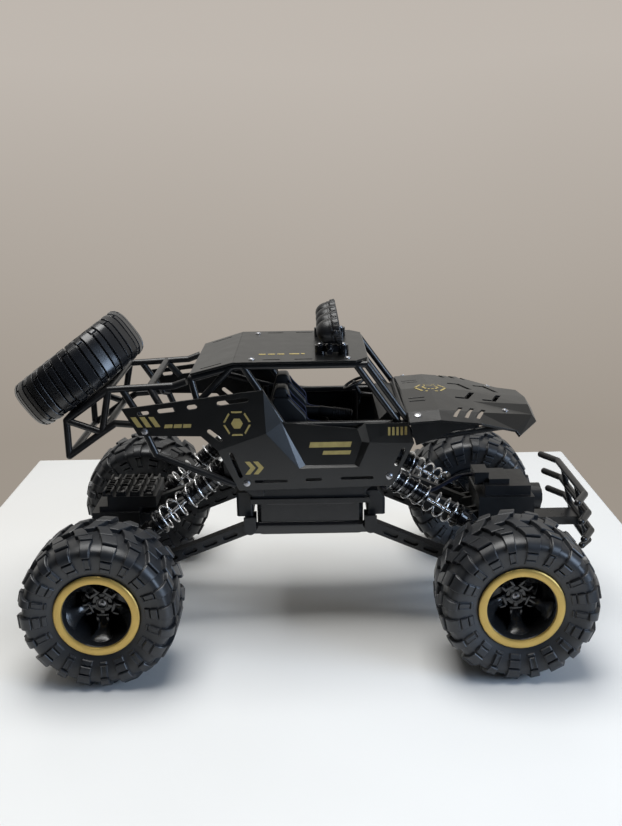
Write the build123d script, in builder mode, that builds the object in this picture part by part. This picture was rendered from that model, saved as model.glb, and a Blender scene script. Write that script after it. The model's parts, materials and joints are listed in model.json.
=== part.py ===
"""Radio-controlled rock crawler truck, modelled as an assembly of separate pieces.

Millimetres. +X points to the front bumper, +Y to the truck's left side, +Z up.
The origin lies on the ground, midway along the truck's length and on its centre plane.
"""
import os
from math import cos, pi, radians, sin, tan

from build123d import *

os.makedirs("parts", exist_ok=True)

# ---------------------------------------------------------------- driving dimensions
WHEEL_RADIUS = 50.0
WHEEL_WIDTH = 53.5
HALF_TRACK = 95.75
AXLE_HEIGHT = WHEEL_RADIUS
REAR_AXLE_X = -127.8
FRONT_AXLE_X = 131.8
SIDES = {"right": -1, "left": 1}
GAP = 0.3                       # clearance between pieces that move past each other
PIN_RADIUS = 1.5
PIN_PLAY = 0.06                 # radial play of a link or shock eye on its pin

# Chassis
BATTERY_X = (-32.2, 39.2)
BELLY_Z = 71.6
DECK_Z = 98.0
TUB_X = (-35.0, 41.0)
TUB_TOP = 124.0
TUB_HALF_WIDTH = 46.0
END_BOX_X = (-46.0, 54.0)
END_BOX_BOTTOM = 84.0

# Suspension: the four links of each axle are parallel and of one length
LINK_Y = 43.0
LINK_WIDTH = 8.0
LINK_EYE_RADIUS = 4.0
LINK_HEIGHT = 8.6
UPPER_LINK_Y = 14.0
UPPER_LINK_WIDTH = 6.0
REAR_LINK = ((-37.0, 77.0), (-106.0, 50.0))
REAR_UPPER_OFFSET = (-4.0, 24.0)
FRONT_LINK = ((44.0, 77.0), (112.0, 47.0))
FRONT_UPPER_OFFSET = (4.0, 24.0)
REAR_SHOCK = ((-48.0, 122.0), (-106.0, 73.0))
FRONT_SHOCK = ((48.0, 114.0), (112.0, 73.0))
REAR_SHOCK_Y = 39.0
FRONT_SHOCK_Y = 34.0
SPRING_RADIUS = 8.5
SPRING_WIRE = 1.4
SHOCK_BODY_RADIUS = 6.0
SHOCK_SHAFT_RADIUS = 2.2
SHOCK_EYE_WIDTH = 17.0

# Steering
KINGPIN_Y = 62.0
STEERING_ARM = 20.0
TIE_ROD_Z = 50.0

# Gears
GEAR_MODULE = 1.0
DRIVE_TEETH = 24
PINION_TEETH = 10
MOTOR_ANGLE = 60.0              # direction of the motor above the axle, from horizontal

# Body shell
SHEET = 1.4
FLATNESS = 1e-5                 # corners nearer to one plane than this make one flat face
QUARTER_Y = 56.0
DOOR_Y = 51.0
SILL_CREASE = ((-55.5, 135.0), (-24.0, 146.0))
SILL_LEAN = 0.08
CAGE_TUBE = 2.2
RACK_TUBE = 2.3
RACK_HALF_WIDTH = 40.0
SPARE_CENTRE = (-154.2, 0.0, 179.2)
SPARE_TILT = 36.0
SPARE_RADIUS = 46.0
SPARE_WIDTH = 33.0
LAMP_Y = (-34.5, -11.5, 11.5, 34.5)

SILL_SCREWS = ((-37.5, 111.8), (56.0, 114.2))
REAR_PANEL_SCREW = (-102.0, 149.0)
HOOD_SCREW = (74.0, 54.0)
NOSE_SCREW = (134.5, 33.0)
ROOF_SCREW_X = (-32.4, 29.4)
ROOF_SCREW_Y = 44.0
SCREW_HEAD = 2.3
SCREW_SHANK = 1.1


# ---------------------------------------------------------------- helpers
def save(piece, label):
    """Label a finished piece and write it to its own file."""
    piece.part.label = label
    export_step(piece.part, f"parts/{label}.step")


def add_block(low, high, mode=Mode.ADD):
    """Rectangular block between two opposite corners."""
    size = Vector(*high) - Vector(*low)
    with Locations(low):
        Box(size.X, size.Y, size.Z, align=(Align.MIN, Align.MIN, Align.MIN), mode=mode)


def add_bar(start, end, radius, mode=Mode.ADD):
    """Round bar from one point to another."""
    run = Vector(*end) - Vector(*start)
    with Locations(Plane(origin=start, z_dir=run)):
        Cylinder(radius, run.length, align=(Align.CENTER, Align.CENTER, Align.MIN), mode=mode)


def add_tube_run(points, radius):
    """Bars through a list of points, with a ball at each bend."""
    for start, end in zip(points, points[1:]):
        add_bar(start, end, radius)
    for bend in points[1:-1]:
        with Locations(bend):
            Sphere(radius)


def add_profile(points, near, far, mode=Mode.ADD):
    """Prism with its outline in X and Z, from Y = near to Y = far."""
    with BuildSketch(Plane.XZ.offset(-far)) as outline:
        with BuildLine():
            Polyline(*points, close=True)
        make_face()
    extrude(outline.sketch, amount=far - near, mode=mode)


def add_folded_sheet(facets, thickness):
    """Flat plates that meet along shared folds; each facet lists its corners in order."""
    for corners in facets:
        points = [Vector(*corner) for corner in corners]
        for second, third in zip(points[1:], points[2:]):
            normal = (second - points[0]).cross(third - points[0])
            flat = Plane(origin=points[0], x_dir=second - points[0], z_dir=normal)
            local = [flat.to_local_coords(point) for point in (points[0], second, third)]
            with BuildSketch(flat) as outline:
                with BuildLine():
                    Polyline(*[(point.X, point.Y) for point in local], close=True)
                make_face()
            extrude(outline.sketch, amount=thickness / 2, both=True)


def folded_wall(facets, inward):
    """Closed solid between a faceted face and its copy moved inward by a vector."""
    faces = []
    rims = {}
    for corners in facets:
        points = [Vector(*corner) for corner in corners]
        normal = (points[1] - points[0]).cross(points[2] - points[0]).normalized()
        if all(abs((point - points[0]).dot(normal)) < FLATNESS for point in points):
            loops = [points]
        else:
            loops = [[points[0], second, third] for second, third in zip(points[1:], points[2:])]
        for loop in loops:
            moved = [point + inward for point in loop]
            faces.append(Face(Wire.make_polygon(loop, close=True)))
            faces.append(Face(Wire.make_polygon(moved, close=True)))
            for start, end in zip(loop, loop[1:] + loop[:1]):
                rims.setdefault(frozenset((tuple(start), tuple(end))), []).append((start, end))
    for shared in rims.values():
        if len(shared) == 1:
            start, end = shared[0]
            faces.append(Face(Wire.make_polygon([start, end, end + inward, start + inward], close=True)))
    return Solid(Shell(faces))


def add_clevis(x, z, centre_y, width, reach, radius=LINK_EYE_RADIUS):
    """Two ears and their pin around an eye of the given width; reach lists the ears' outline."""
    for face in (-1, 1):
        inner = centre_y + face * (width / 2 + GAP)
        outer = centre_y + face * (width / 2 + GAP + 2.4)
        add_profile(reach, min(inner, outer), max(inner, outer))
        add_bar((x, inner, z), (x, outer, z), radius)
    half = width / 2 + GAP + 1.0
    add_bar((x, centre_y - half, z), (x, centre_y + half, z), PIN_RADIUS)


def add_link(start, end, centre_y, width):
    """I-section link between two eyes, in the plane Y = centre_y."""
    run = Vector(end[0] - start[0], 0, end[1] - start[1])
    along = run.normalized()
    low = centre_y - width / 2
    for x, z in (start, end):
        add_bar((x, low, z), (x, low + width, z), LINK_EYE_RADIUS)
    web = Plane(origin=(start[0], low, start[1]), x_dir=along, z_dir=(0, -1, 0))
    with BuildSketch(web) as blank:
        with Locations((run.length / 2, 0)):
            Rectangle(run.length - 2, LINK_HEIGHT - 1.2)
    extrude(blank.sketch, amount=-width)
    for face, depth in ((low, -1.8), (low + width, 1.8)):
        side = Plane(origin=(start[0], face, start[1]), x_dir=along, z_dir=(0, -1, 0))
        with BuildSketch(side) as pockets:
            for index in range(4):
                with Locations((run.length * (0.2 + 0.2 * index), 0)):
                    SlotOverall(10.5, 3.6)
        extrude(pockets.sketch, amount=depth, mode=Mode.SUBTRACT)
    for x, z in (start, end):
        add_bar((x, low, z), (x, low + width, z), PIN_RADIUS + PIN_PLAY, mode=Mode.SUBTRACT)


def add_gear(teeth, width, bore):
    """Spur gear with straight-sided teeth about the local Y axis, centred on the origin."""
    pitch = teeth * GEAR_MODULE / 2
    root = pitch - 1.25 * GEAR_MODULE
    tip = pitch + 0.8 * GEAR_MODULE
    with BuildSketch(Plane.XZ.offset(-width / 2)) as blank:
        Circle(root)
        with PolarLocations(0, teeth):
            Polygon((root - 0.3, -0.95), (tip, -0.34), (tip, 0.34), (root - 0.3, 0.95), align=None)
        if bore:
            Circle(bore, mode=Mode.SUBTRACT)
    extrude(blank.sketch, amount=width)


def sill_y(x, z):
    """Half-width of the body at the sill, which leans inwards below its crease with the quarter."""
    (rear_x, rear_z), (front_x, front_z) = SILL_CREASE
    crease_z = rear_z + (x - rear_x) * (front_z - rear_z) / (front_x - rear_x)
    return QUARTER_Y - SILL_LEAN * (crease_z - z)


def cut_slot(start, end, width, normal, depth=5):
    """Round-ended slot through a sheet, from one end's centre to the other's."""
    run = Vector(*end) - Vector(*start)
    middle = (Vector(*start) + Vector(*end)) / 2
    with BuildSketch(Plane(origin=middle, x_dir=run, z_dir=normal)) as opening:
        SlotOverall(run.length, width)
    extrude(opening.sketch, amount=depth, both=True, mode=Mode.SUBTRACT)


def shifted(point, offset):
    """A point in X and Z moved by an offset."""
    return (point[0] + offset[0], point[1] + offset[1])


# ---------------------------------------------------------------- chassis
with BuildPart() as chassis_tub:
    # Deck over the battery box and the end boxes that carry the lower links
    add_block((END_BOX_X[0], -43, DECK_Z), (END_BOX_X[1], 43, DECK_Z + 3))
    add_block((END_BOX_X[0], -43, END_BOX_BOTTOM), (BATTERY_X[0] - 2.6, 43, DECK_Z))
    add_block((BATTERY_X[1] + 2.6, -43, END_BOX_BOTTOM), (END_BOX_X[1], 43, DECK_Z))
    fillet(chassis_tub.edges().filter_by(Axis.Z), 2)
    # Notches for the upper links, and slopes that clear the front springs
    for x in (END_BOX_X[0] - 1, TUB_X[1]):
        add_block((x, -20, 91.5), (x + 14, 20, DECK_Z + 4), mode=Mode.SUBTRACT)
    for sign in SIDES.values():
        slope = [(49, DECK_Z + 3.1), (END_BOX_X[1] + 1, DECK_Z + 3.1), (END_BOX_X[1] + 1, DECK_Z - 5)]
        add_profile(slope, min(sign * 20, sign * 44), max(sign * 20, sign * 44), mode=Mode.SUBTRACT)
    # Open box for the circuit board
    add_block((TUB_X[0], -TUB_HALF_WIDTH, DECK_Z), (TUB_X[1], TUB_HALF_WIDTH, TUB_TOP))
    add_block((TUB_X[0] + 2, 2 - TUB_HALF_WIDTH, DECK_Z + 3),
              (TUB_X[1] - 2, TUB_HALF_WIDTH - 2, TUB_TOP), mode=Mode.SUBTRACT)
    for x in (-24, 30):
        for y in (-26, 26):
            add_bar((x, y, DECK_Z + 3), (x, y, DECK_Z + 6), 3)
    # Chamber and slot for the power switch, in the rear end box
    add_block((-43, -9, 86), (-35, 9, 89.5), mode=Mode.SUBTRACT)
    add_block((-41, -6, 83), (-37, 6, 87), mode=Mode.SUBTRACT)
    for sign in SIDES.values():
        # Ears for the lower and upper links
        for x, z in (REAR_LINK[0], FRONT_LINK[0]):
            ear = [(x - 4, z), (x + 4, z), (x + 4, END_BOX_BOTTOM + 1), (x - 4, END_BOX_BOTTOM + 1)]
            add_clevis(x, z, sign * LINK_Y, LINK_WIDTH, ear)
        rear_top = shifted(REAR_LINK[0], REAR_UPPER_OFFSET)
        front_top = shifted(FRONT_LINK[0], FRONT_UPPER_OFFSET)
        for (x, z), wall in ((rear_top, TUB_X[0] + 1), (front_top, TUB_X[1] - 1)):
            ear = [(x, z - 4), (wall, z - 4), (wall, z + 6), (x, z + 4)]
            add_clevis(x, z, sign * UPPER_LINK_Y, UPPER_LINK_WIDTH, ear)
        # Shock towers
        x, z = REAR_SHOCK[0]
        tower = [(TUB_X[0] + 1, 101), (TUB_X[0] + 1, 123), (x, z + 5), (x - 5, z), (x - 4, z - 8)]
        add_clevis(x, z, sign * REAR_SHOCK_Y, SHOCK_EYE_WIDTH, tower, 5)
        x, z = FRONT_SHOCK[0]
        tower = [(TUB_X[1] - 1, 101), (TUB_X[1] - 1, 122), (x + 9, z + 7), (x + 9, z - 3), (x, z - 6)]
        add_clevis(x, z, sign * FRONT_SHOCK_Y, SHOCK_EYE_WIDTH, tower, 5)
    # Rear shock ears carry a bridge to the tub, because they stand outside its walls
    for sign in SIDES.values():
        wall = sign * (TUB_HALF_WIDTH - 1)
        ear = sign * (REAR_SHOCK_Y + SHOCK_EYE_WIDTH / 2 + GAP + 2.4)
        add_block((TUB_X[0], min(wall, ear), 101), (TUB_X[0] + 8, max(wall, ear), 124))
    # Bosses behind the lower screws of the side panels
    for sign in SIDES.values():
        for x, z in SILL_SCREWS:
            face = sign * (sill_y(x, z) - SHEET / 2 - 0.4)
            add_bar((x, sign * 44, z), (x, face, z), 3)
            add_bar((x, sign * 46, z), (x, sign * 60, z), SCREW_SHANK + PIN_PLAY, mode=Mode.SUBTRACT)
save(chassis_tub, "chassis_tub")


with BuildPart() as battery_cover:
    add_block((BATTERY_X[0], -46, BELLY_Z), (BATTERY_X[1], 46, DECK_Z))
    fillet(battery_cover.edges().filter_by(Axis.Z), 4)
    fillet(battery_cover.faces().sort_by(Axis.Z)[0].edges(), 1.2)
    with Locations(((BATTERY_X[0] + BATTERY_X[1]) / 2, 0, BELLY_Z + 2)):
        Box(BATTERY_X[1] - BATTERY_X[0] - 4, 88, DECK_Z, align=(Align.CENTER, Align.CENTER, Align.MIN),
            mode=Mode.SUBTRACT)
    for sign in SIDES.values():
        add_block((BATTERY_X[0] - 4, min(sign * 45, sign * 48.5), DECK_Z - 3.5),
                  (BATTERY_X[1] + 4, max(sign * 45, sign * 48.5), DECK_Z))
save(battery_cover, "battery_cover")

with BuildPart() as battery_pack:
    add_block((BATTERY_X[0] + 5, -34, BELLY_Z + 2), (BATTERY_X[1] - 5, 34, BELLY_Z + 21))
    fillet(battery_pack.edges().filter_by(Axis.Y), 5)
save(battery_pack, "battery_pack")

with BuildPart() as circuit_board:
    add_block((-28, -30, DECK_Z + 6), (34, 30, DECK_Z + 7.6))
    for x, y, length, width, height in ((-14, -8, 12, 12, 3), (12, 10, 16, 9, 5), (22, -18, 8, 8, 9),
                                        (-18, 18, 9, 7, 8), (4, -20, 7, 5, 4)):
        add_block((x, y, DECK_Z + 7.6), (x + length, y + width, DECK_Z + 7.6 + height))
save(circuit_board, "circuit_board")

with BuildPart() as power_switch:
    add_block((-42.7, -7, 86.3), (-35.3, 1, 88.3))
    add_block((-40.7, -4.6, 81.5), (-37.3, -1.4, 86.3))
    add_block((-40.7, -3.4, 80.8), (-37.3, -2.6, 81.5))
save(power_switch, "power_switch")


# ---------------------------------------------------------------- body shell
def side_panel(sign):
    """Folded sheet-metal side: flat rear quarter, leaning sill, recessed door, front corner."""
    def flat(x, z):
        return (x, sign * QUARTER_Y, z)

    def sill(x, z):
        return (x, sign * sill_y(x, z), z)

    def door(x, z):
        return (x, sign * DOOR_Y, z)

    pillar_top = flat(-25, 175)
    knee, bend = (flat(*point) for point in SILL_CREASE)
    shoulder = flat(-34, 165)
    rear_foot, front_foot = sill(-3, 121), sill(36, 121)
    corner = (sill(43, 138), sill(72, 137), (68, sign * 53, 151), (40, sign * 53.6, 151))
    opening = (door(-14, 152), door(1, 122.5), door(33, 122.5), door(38, 138), door(35, 147))
    facets = (
        (flat(-116, 164), flat(-106, 146), flat(-66, 145), knee, bend, shoulder, pillar_top),
        (pillar_top, shoulder, bend, opening[0]),
        (opening[0], bend, rear_foot, opening[1]),
        (knee, sill(-43, 106.6), sill(58, 107.2), corner[1], corner[0], front_foot, rear_foot, bend),
        corner,
        (opening[1], rear_foot, front_foot, opening[2]),
        (opening[2], front_foot, corner[0], opening[3]),
        (opening[3], corner[0], corner[3], opening[4]),
        opening,
    )
    slots = (
        ((-106, 160.6), (-98.5, 161.4), 2.6), ((-93, 162), (-81.5, 163.2), 3),
        ((-74, 164.2), (-67.5, 165), 3), ((-54.8, 166.4), (-34.5, 169), 3),
        ((-61.5, 149), (-52.5, 141.5), 3), ((-47.5, 133.5), (-41, 115.5), 2.6),
        ((-32.5, 112.6), (-11, 112.6), 2), ((1, 113), (11.5, 113), 2),
        ((24, 113.4), (45.5, 113.4), 2), ((60, 121), (65.5, 133.5), 3),
    )
    holes = (*SILL_SCREWS, REAR_PANEL_SCREW)
    with BuildPart() as panel:
        add(folded_wall(facets, Vector(0, -sign * SHEET, 0)).moved(Location((0, sign * SHEET / 2, 0))))
        for start, end, width in slots:
            cut_slot((start[0], sign * 55, start[1]), (end[0], sign * 55, end[1]), width, (0, 1, 0))
        for x, z in holes:
            add_bar((x, sign * 48, z), (x, sign * 60, z), SCREW_SHANK + PIN_PLAY, mode=Mode.SUBTRACT)
    return panel


for side, sign in SIDES.items():
    save(side_panel(sign), f"side_panel_{side}")

def mirrored(facets):
    """The facets and their mirror images across the centre plane."""
    return facets + tuple(tuple((x, -y, z) for x, y, z in corners) for corners in facets)


def cut_from_above(outline):
    """Opening through the hood with its outline in X and Y."""
    with BuildSketch(Plane.XY.offset(135)) as opening:
        with BuildLine():
            Polyline(*outline, close=True)
        make_face()
    extrude(opening.sketch, amount=35, mode=Mode.SUBTRACT)


with BuildPart() as hood_panel:
    rear = ((68, 0, 159.6), (68, 50, 157), (68, 61, 153.2))
    crest = ((88, 0, 161), (88, 50, 158.4), (88, 61, 154.4))
    shoulder = ((114, 0, 158), (114, 26, 156.96), (114, 50, 156), (114, 61, 151.6))
    nose = ((154.5, 0, 152.6), (152.4, 20, 152.6))
    wing = ((153.4, 30, 148.2), (139, 49, 143))
    lip = ((159.4, 0, 144.6), (156.6, 29, 143.2), (141.6, 49.6, 139.6))
    add(folded_wall(mirrored((
        (rear[0], rear[1], crest[1], crest[0]),
        (rear[1], rear[2], crest[2], crest[1]),
        (crest[0], crest[1], shoulder[2], shoulder[1], shoulder[0]),
        (crest[1], crest[2], shoulder[3], shoulder[2]),
        (shoulder[0], shoulder[1], nose[1], nose[0]),
        (shoulder[1], wing[0], nose[1]),
        (shoulder[1], shoulder[2], wing[0]),
        (shoulder[2], shoulder[3], wing[1], wing[0]),
        (nose[0], nose[1], lip[1], lip[0]),
        (nose[1], wing[0], lip[1]),
        (wing[0], wing[1], lip[2], lip[1]),
    )), Vector(-0.9, 0, -1.2)))
    for sign in SIDES.values():
        # Flange that hangs under the outer edge
        flange = [(68.2, 152.6), (87.5, 153.8), (112.5, 151.2), (112.5, 148.6), (96, 146.8), (84, 141.5),
                  (72.5, 137.5)]
        add_profile(flange, min(sign * 59, sign * 60.2), max(sign * 59, sign * 60.2))
        for y in (22, 28.5):
            cut_slot((70.8, sign * y, 160), (82, sign * y, 160), 1.7, (0, 0, 1), 8)
        # Two bent openings on each side of the middle, which together point forward
        for x in (0, 18.5):
            cut_from_above([(x + 103, sign * 18.4), (x + 109.4, sign * 18.4), (x + 114.9, sign * 4.4),
                            (x + 118.5, sign * 4.4), (x + 111.6, sign * 21.6), (x + 103, sign * 21.6)])
        for x in (96, 103.5, 111):
            cut_from_above([(x, sign * 56), (x + 2.6, sign * 56.5), (x + 8.8, sign * 42.5), (x + 6.2, sign * 42)])
        for x, y in (HOOD_SCREW, NOSE_SCREW):
            add_bar((x, sign * y, 140), (x, sign * y, 170), SCREW_SHANK + PIN_PLAY, mode=Mode.SUBTRACT)
save(hood_panel, "hood_panel")

ROOF_Z = 191.7
with BuildPart() as roof_panel:
    front = [(-44, -52.5), (34.5, -52.5), (42, -43), (42, 43), (34.5, 52.5), (-44, 52.5)]
    add_folded_sheet(([(x, y, ROOF_Z) for x, y in front],
                      [(-44, -52.5, ROOF_Z), (-44, 52.5, ROOF_Z), (-72, 49, 184), (-72, -49, 184)]), SHEET)
    for sign in SIDES.values():
        for start, end in ((-25.5, -14), (-5, 7)):
            cut_slot((start, sign * 46, ROOF_Z), (end, sign * 46, ROOF_Z), 2, (0, 0, 1))
        cut_slot((-66, sign * 43, 186), (-52, sign * 44.5, 189.5), 2, (0, 0, 1))
        for x in ROOF_SCREW_X:
            add_bar((x, sign * ROOF_SCREW_Y, 180), (x, sign * ROOF_SCREW_Y, 200),
                    SCREW_SHANK + PIN_PLAY, mode=Mode.SUBTRACT)
save(roof_panel, "roof_panel")

with BuildPart() as roll_cage:
    for sign in SIDES.values():
        runs = (
            [(69, 49.5, 150), (41.5, 46.5, 188.4), (-43, 47, 188.4), (-72, 45, 180.5)],
            [(62, 49, 150), (34.5, 46.5, 188.4)],
            [(-38, 47, 188.4), (-13, 47.5, 149)],
            [(-46, 47, 187.5), (-68, 47.5, 165)],
            [(69, 49.5, 150), (64, 47.5, 149), (-13, 47.5, 149), (-68, 47.5, 165), (-72, 45, 180.5)],
            [(-28, 44.3, 153), (-28, 44.3, TUB_TOP)],
            [(38, 44.3, 149), (38, 44.3, TUB_TOP)],
            [(64, 47.5, 149), (76, 47, 138), (128, 41, 143), (148, 28, 141), (148, 0, 141)],
        )
        for run in runs:
            add_tube_run([(x, sign * y, z) for x, y, z in run], CAGE_TUBE)
        for x, y, z in ((69, 49.5, 150), (41.5, 46.5, 188.4), (-72, 45, 180.5)):
            with Locations((x, sign * y, z)):
                Sphere(CAGE_TUBE)
    for x, y, z in ((41.5, 46.5, 188.4), (-43, 47, 188.4), (-72, 45, 180.5), (66.5, 49, 154)):
        add_bar((x, -y, z), (x, y, z), CAGE_TUBE)
save(roll_cage, "roll_cage")


# ---------------------------------------------------------------- rear rack and spare wheel
with BuildPart() as rear_rack:
    tilt = radians(SPARE_TILT)
    width = RACK_HALF_WIDTH
    for sign in SIDES.values():
        runs = (
            [(-127, width, 173), (-156, width, 152.5), (-156, width, 128), (-133, width, 144),
             (-124, width, 150), (-106, width + 5, 150), (-102, 52.8, 147), (-96, 52.8, 132),
             (-44.8, 52.8, 110)],
            [(-156, width, 152.5), (-133, width, 144), (-127, width, 173), (-84, width + 1, 175),
             (-75.4, width + 2, 178)],
            [(-118, width, 173), (-104, width + 3, 150)],
            [(-100, width, 174), (-92, width + 6, 162)],
        )
        for run in runs:
            add_tube_run([(x, sign * y, z) for x, y, z in run], RACK_TUBE)
        with Locations((-156, sign * width, 152.5), (-127, sign * width, 173)):
            Sphere(RACK_TUBE)
    for x, z in ((-156, 152.5), (-127, 173), (-133, 144), (-100, 174), (-156, 128)):
        add_bar((x, -width, z), (x, width, z), RACK_TUBE)
    # Plate between the two upper cross bars, which the spare wheel is bolted to
    plate = Plane(origin=(-141.5, 0, 162.75), x_dir=(cos(tilt), 0, sin(tilt)),
                  z_dir=(-sin(tilt), 0, cos(tilt)))
    with BuildSketch(plate) as pad:
        RectangleRounded(34, 26, 4)
    extrude(pad.sketch, amount=1.4, both=True)
save(rear_rack, "rear_rack")

SPARE_PLANE = Plane(origin=SPARE_CENTRE, x_dir=(cos(radians(SPARE_TILT)), 0, sin(radians(SPARE_TILT))),
                    z_dir=(-sin(radians(SPARE_TILT)), 0, cos(radians(SPARE_TILT))))


def spare_ring(outline):
    """Ring turned about the spare wheel's own axis from an outline of radius and height."""
    with BuildPart() as ring:
        with BuildSketch(Plane.XZ) as section:
            with BuildLine():
                Polyline(*outline, close=True)
            make_face()
        revolve(section.sketch, axis=Axis.Z)
    return ring


half = SPARE_WIDTH / 2
with BuildPart() as spare_tyre:
    add(spare_ring([(21, 4 - half), (25, -half), (42, -half), (SPARE_RADIUS, 6.5 - half),
                    (SPARE_RADIUS + 1, 0), (SPARE_RADIUS, half - 6.5), (42, half), (25, half),
                    (21, half - 4), (23.5, half - 5), (38, half - 3), (42.5, half - 9),
                    (42.5, 9 - half), (38, 3 - half), (23.5, 5 - half)]).part)
spare_tyre.part.locate(SPARE_PLANE.location)
save(spare_tyre, "spare_tyre")

with BuildPart() as spare_rim:
    add(spare_ring([(0, -18.6), (7, -18.6), (7, 2), (16, 2), (18.5, -11), (20.8, -11), (20.8, 11),
                    (18.5, 11), (16, 6), (0, 6)]).part)
    with PolarLocations(11.5, 5):
        Hole(3)
spare_rim.part.locate(SPARE_PLANE.location)
save(spare_rim, "spare_rim")


# ---------------------------------------------------------------- cabin
with BuildPart() as cabin_interior:
    add_block((TUB_X[0] + 0.1, -41.5, TUB_TOP), (64, 41.5, TUB_TOP + 2))
    # Rear bulkhead, dashboard and the tunnel between the seats
    add_block((TUB_X[0] + 0.1, -41.5, TUB_TOP + 2), (TUB_X[0] + 3, 41.5, TUB_TOP + 26))
    add_profile([(64, TUB_TOP + 2), (64, 154), (56, 156), (50, 150), (52, TUB_TOP + 2)], -41.5, 41.5)
    add_block((-8, -5, TUB_TOP + 2), (52, 5, TUB_TOP + 12))
    add_bar((-6, 0, 146), (12, 0, 145), 3.2)
    add_bar((12, 0, 145), (34, 0, 141.5), 3.4)
    add_block((-2, -2, TUB_TOP + 12), (2, 2, 146))
    add_block((28, -2, TUB_TOP + 12), (32, 2, 142))
save(cabin_interior, "cabin_interior")

for side, sign in SIDES.items():
    with BuildPart() as seat:
        shape = [(-22, 126), (-24, 150), (-18, 166), (-11, 166), (0, 141), (14, 139), (17, 134), (15, 126)]
        add_profile(shape, min(sign * 8, sign * 32), max(sign * 8, sign * 32))
        fillet(seat.edges().filter_by(Axis.Y), 1.2)
    save(seat, f"seat_{side}")

WHEEL_HUB = Vector(37, 30, 157.5)
COLUMN = Vector(0.447, 0, -0.8944)
with BuildPart() as steering_wheel:
    with Locations(Plane(origin=WHEEL_HUB, z_dir=COLUMN)):
        Torus(8, 1.1)
    for angle in (90, 210, 330):
        spoke = Plane(origin=WHEEL_HUB, z_dir=COLUMN).location * Location((0, 0, 0), (0, 0, angle))
        tip = spoke * Location((8, 0, 0))
        add_bar(tuple(WHEEL_HUB), tuple(tip.position), 0.7)
    add_tube_run([tuple(WHEEL_HUB - COLUMN), tuple(WHEEL_HUB + COLUMN * 9), (49.8, 30, 148.4)], 1.5)
save(steering_wheel, "steering_wheel")


# ---------------------------------------------------------------- light bar
LAMP_X = 25.0
LAMP_Z = 209.4
LAMP_TILT = 11.0
BAR_X = 18.0
ROOF_TOP = ROOF_Z + SHEET / 2
with BuildPart() as light_bracket:
    add_bar((BAR_X, -41, 195.6), (BAR_X, 41, 195.6), 2)
    for y in LAMP_Y:
        add_bar((BAR_X, y, 195.6), (BAR_X, y, 199.2), 2.4)
    for sign in SIDES.values():
        y = sign * 31
        add_block((12, y - 2.2, 194), (27, y + 2.2, 198))
        for x in (12, 27):
            add_bar((x, y, ROOF_TOP), (x, y, 198.6), 3.6)
            add_bar((x, y, 198.6), (x, y, 199.4), 1.9)
save(light_bracket, "light_bracket")

with BuildPart() as lamp_shape:
    with BuildSketch(Plane.XZ):
        with BuildLine():
            Polyline((0, -15.6), (4, -14.9), (6.9, -12.4), (8.3, -8), (8.4, -4), (9.2, -3.6), (9.2, -0.4),
                     (8.8, 0), (8, 0), (8, -2.2), (7.2, -2.2), (4.2, -9), (0, -10), close=True)
        make_face()
    revolve(axis=Axis.Z)
with BuildPart() as lens_shape:
    with Locations((0, 0, -1.3)):
        Cylinder(7.9, 1.6)
    fillet(lens_shape.faces().sort_by(Axis.Z)[-1].edges(), 0.8)
facing = (cos(radians(LAMP_TILT)), 0, sin(radians(LAMP_TILT)))
lamp_planes = [Plane(origin=(LAMP_X, y, LAMP_Z), x_dir=(0, 1, 0), z_dir=facing) for y in LAMP_Y]
for shape, label in ((lamp_shape, "lamp_housings"), (lens_shape, "lamp_lenses")):
    with BuildPart() as row:
        for plane in lamp_planes:
            add(shape.part.moved(plane.location))
    save(row, label)


# ---------------------------------------------------------------- screws that hold the shell
def add_screw(head, inward, shank=3.0):
    """Button-head screw whose washer face lies at head and whose shank runs inward."""
    axis = Vector(*inward).normalized()
    start = Vector(*head)
    add_bar(tuple(start), tuple(start - axis * 0.5), SCREW_HEAD)
    add_bar(tuple(start - axis * 0.5), tuple(start - axis * 1.3), SCREW_HEAD * 0.72)
    add_bar(tuple(start), tuple(start + axis * shank), SCREW_SHANK)


with BuildPart() as panel_screws:
    for sign in SIDES.values():
        for x, z in SILL_SCREWS:
            add_screw((x, sign * (sill_y(x, z) + SHEET / 2 + 0.3), z), (0, -sign, 0))
        x, z = REAR_PANEL_SCREW
        add_screw((x, sign * (QUARTER_Y + SHEET / 2), z), (0, -sign, 0), 1.2)
        add_screw((HOOD_SCREW[0], sign * HOOD_SCREW[1], 157.1), (0, 0, -1))
        add_screw((NOSE_SCREW[0], sign * NOSE_SCREW[1], 152.9), (0, 0, -1))
        for x in ROOF_SCREW_X:
            add_screw((x, sign * ROOF_SCREW_Y, ROOF_TOP), (0, 0, -1), 1.3)
save(panel_screws, "panel_screws")


# ---------------------------------------------------------------- suspension
def links(chassis_end, axle_end, centre_y, width):
    """The left and right link of one pair."""
    with BuildPart() as pair:
        for sign in SIDES.values():
            add_link(chassis_end, axle_end, sign * centre_y, width)
    return pair


def shock_frames(ends, centre_y):
    """One plane for each side, at the shock's top eye, with its Z axis towards the lower eye."""
    (top_x, top_z), (low_x, low_z) = ends
    run = Vector(low_x - top_x, 0, low_z - top_z)
    return [Plane(origin=(top_x, sign * centre_y, top_z), x_dir=(0, 1, 0), z_dir=run)
            for sign in SIDES.values()], run.length


def add_turned(plane, stations, mode=Mode.ADD):
    """Stepped round body along a plane's Z axis: (from, to, radius) for each step."""
    for low, high, radius in stations:
        with Locations(plane.location * Location((0, 0, low))):
            Cylinder(radius, high - low, align=(Align.CENTER, Align.CENTER, Align.MIN), mode=mode)


LOWER_EYE_WIDTH = 12.0
LOWER_EYE_PLAY = 1.3            # the open pivot of the linkage: the eye's play on its pin


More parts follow.
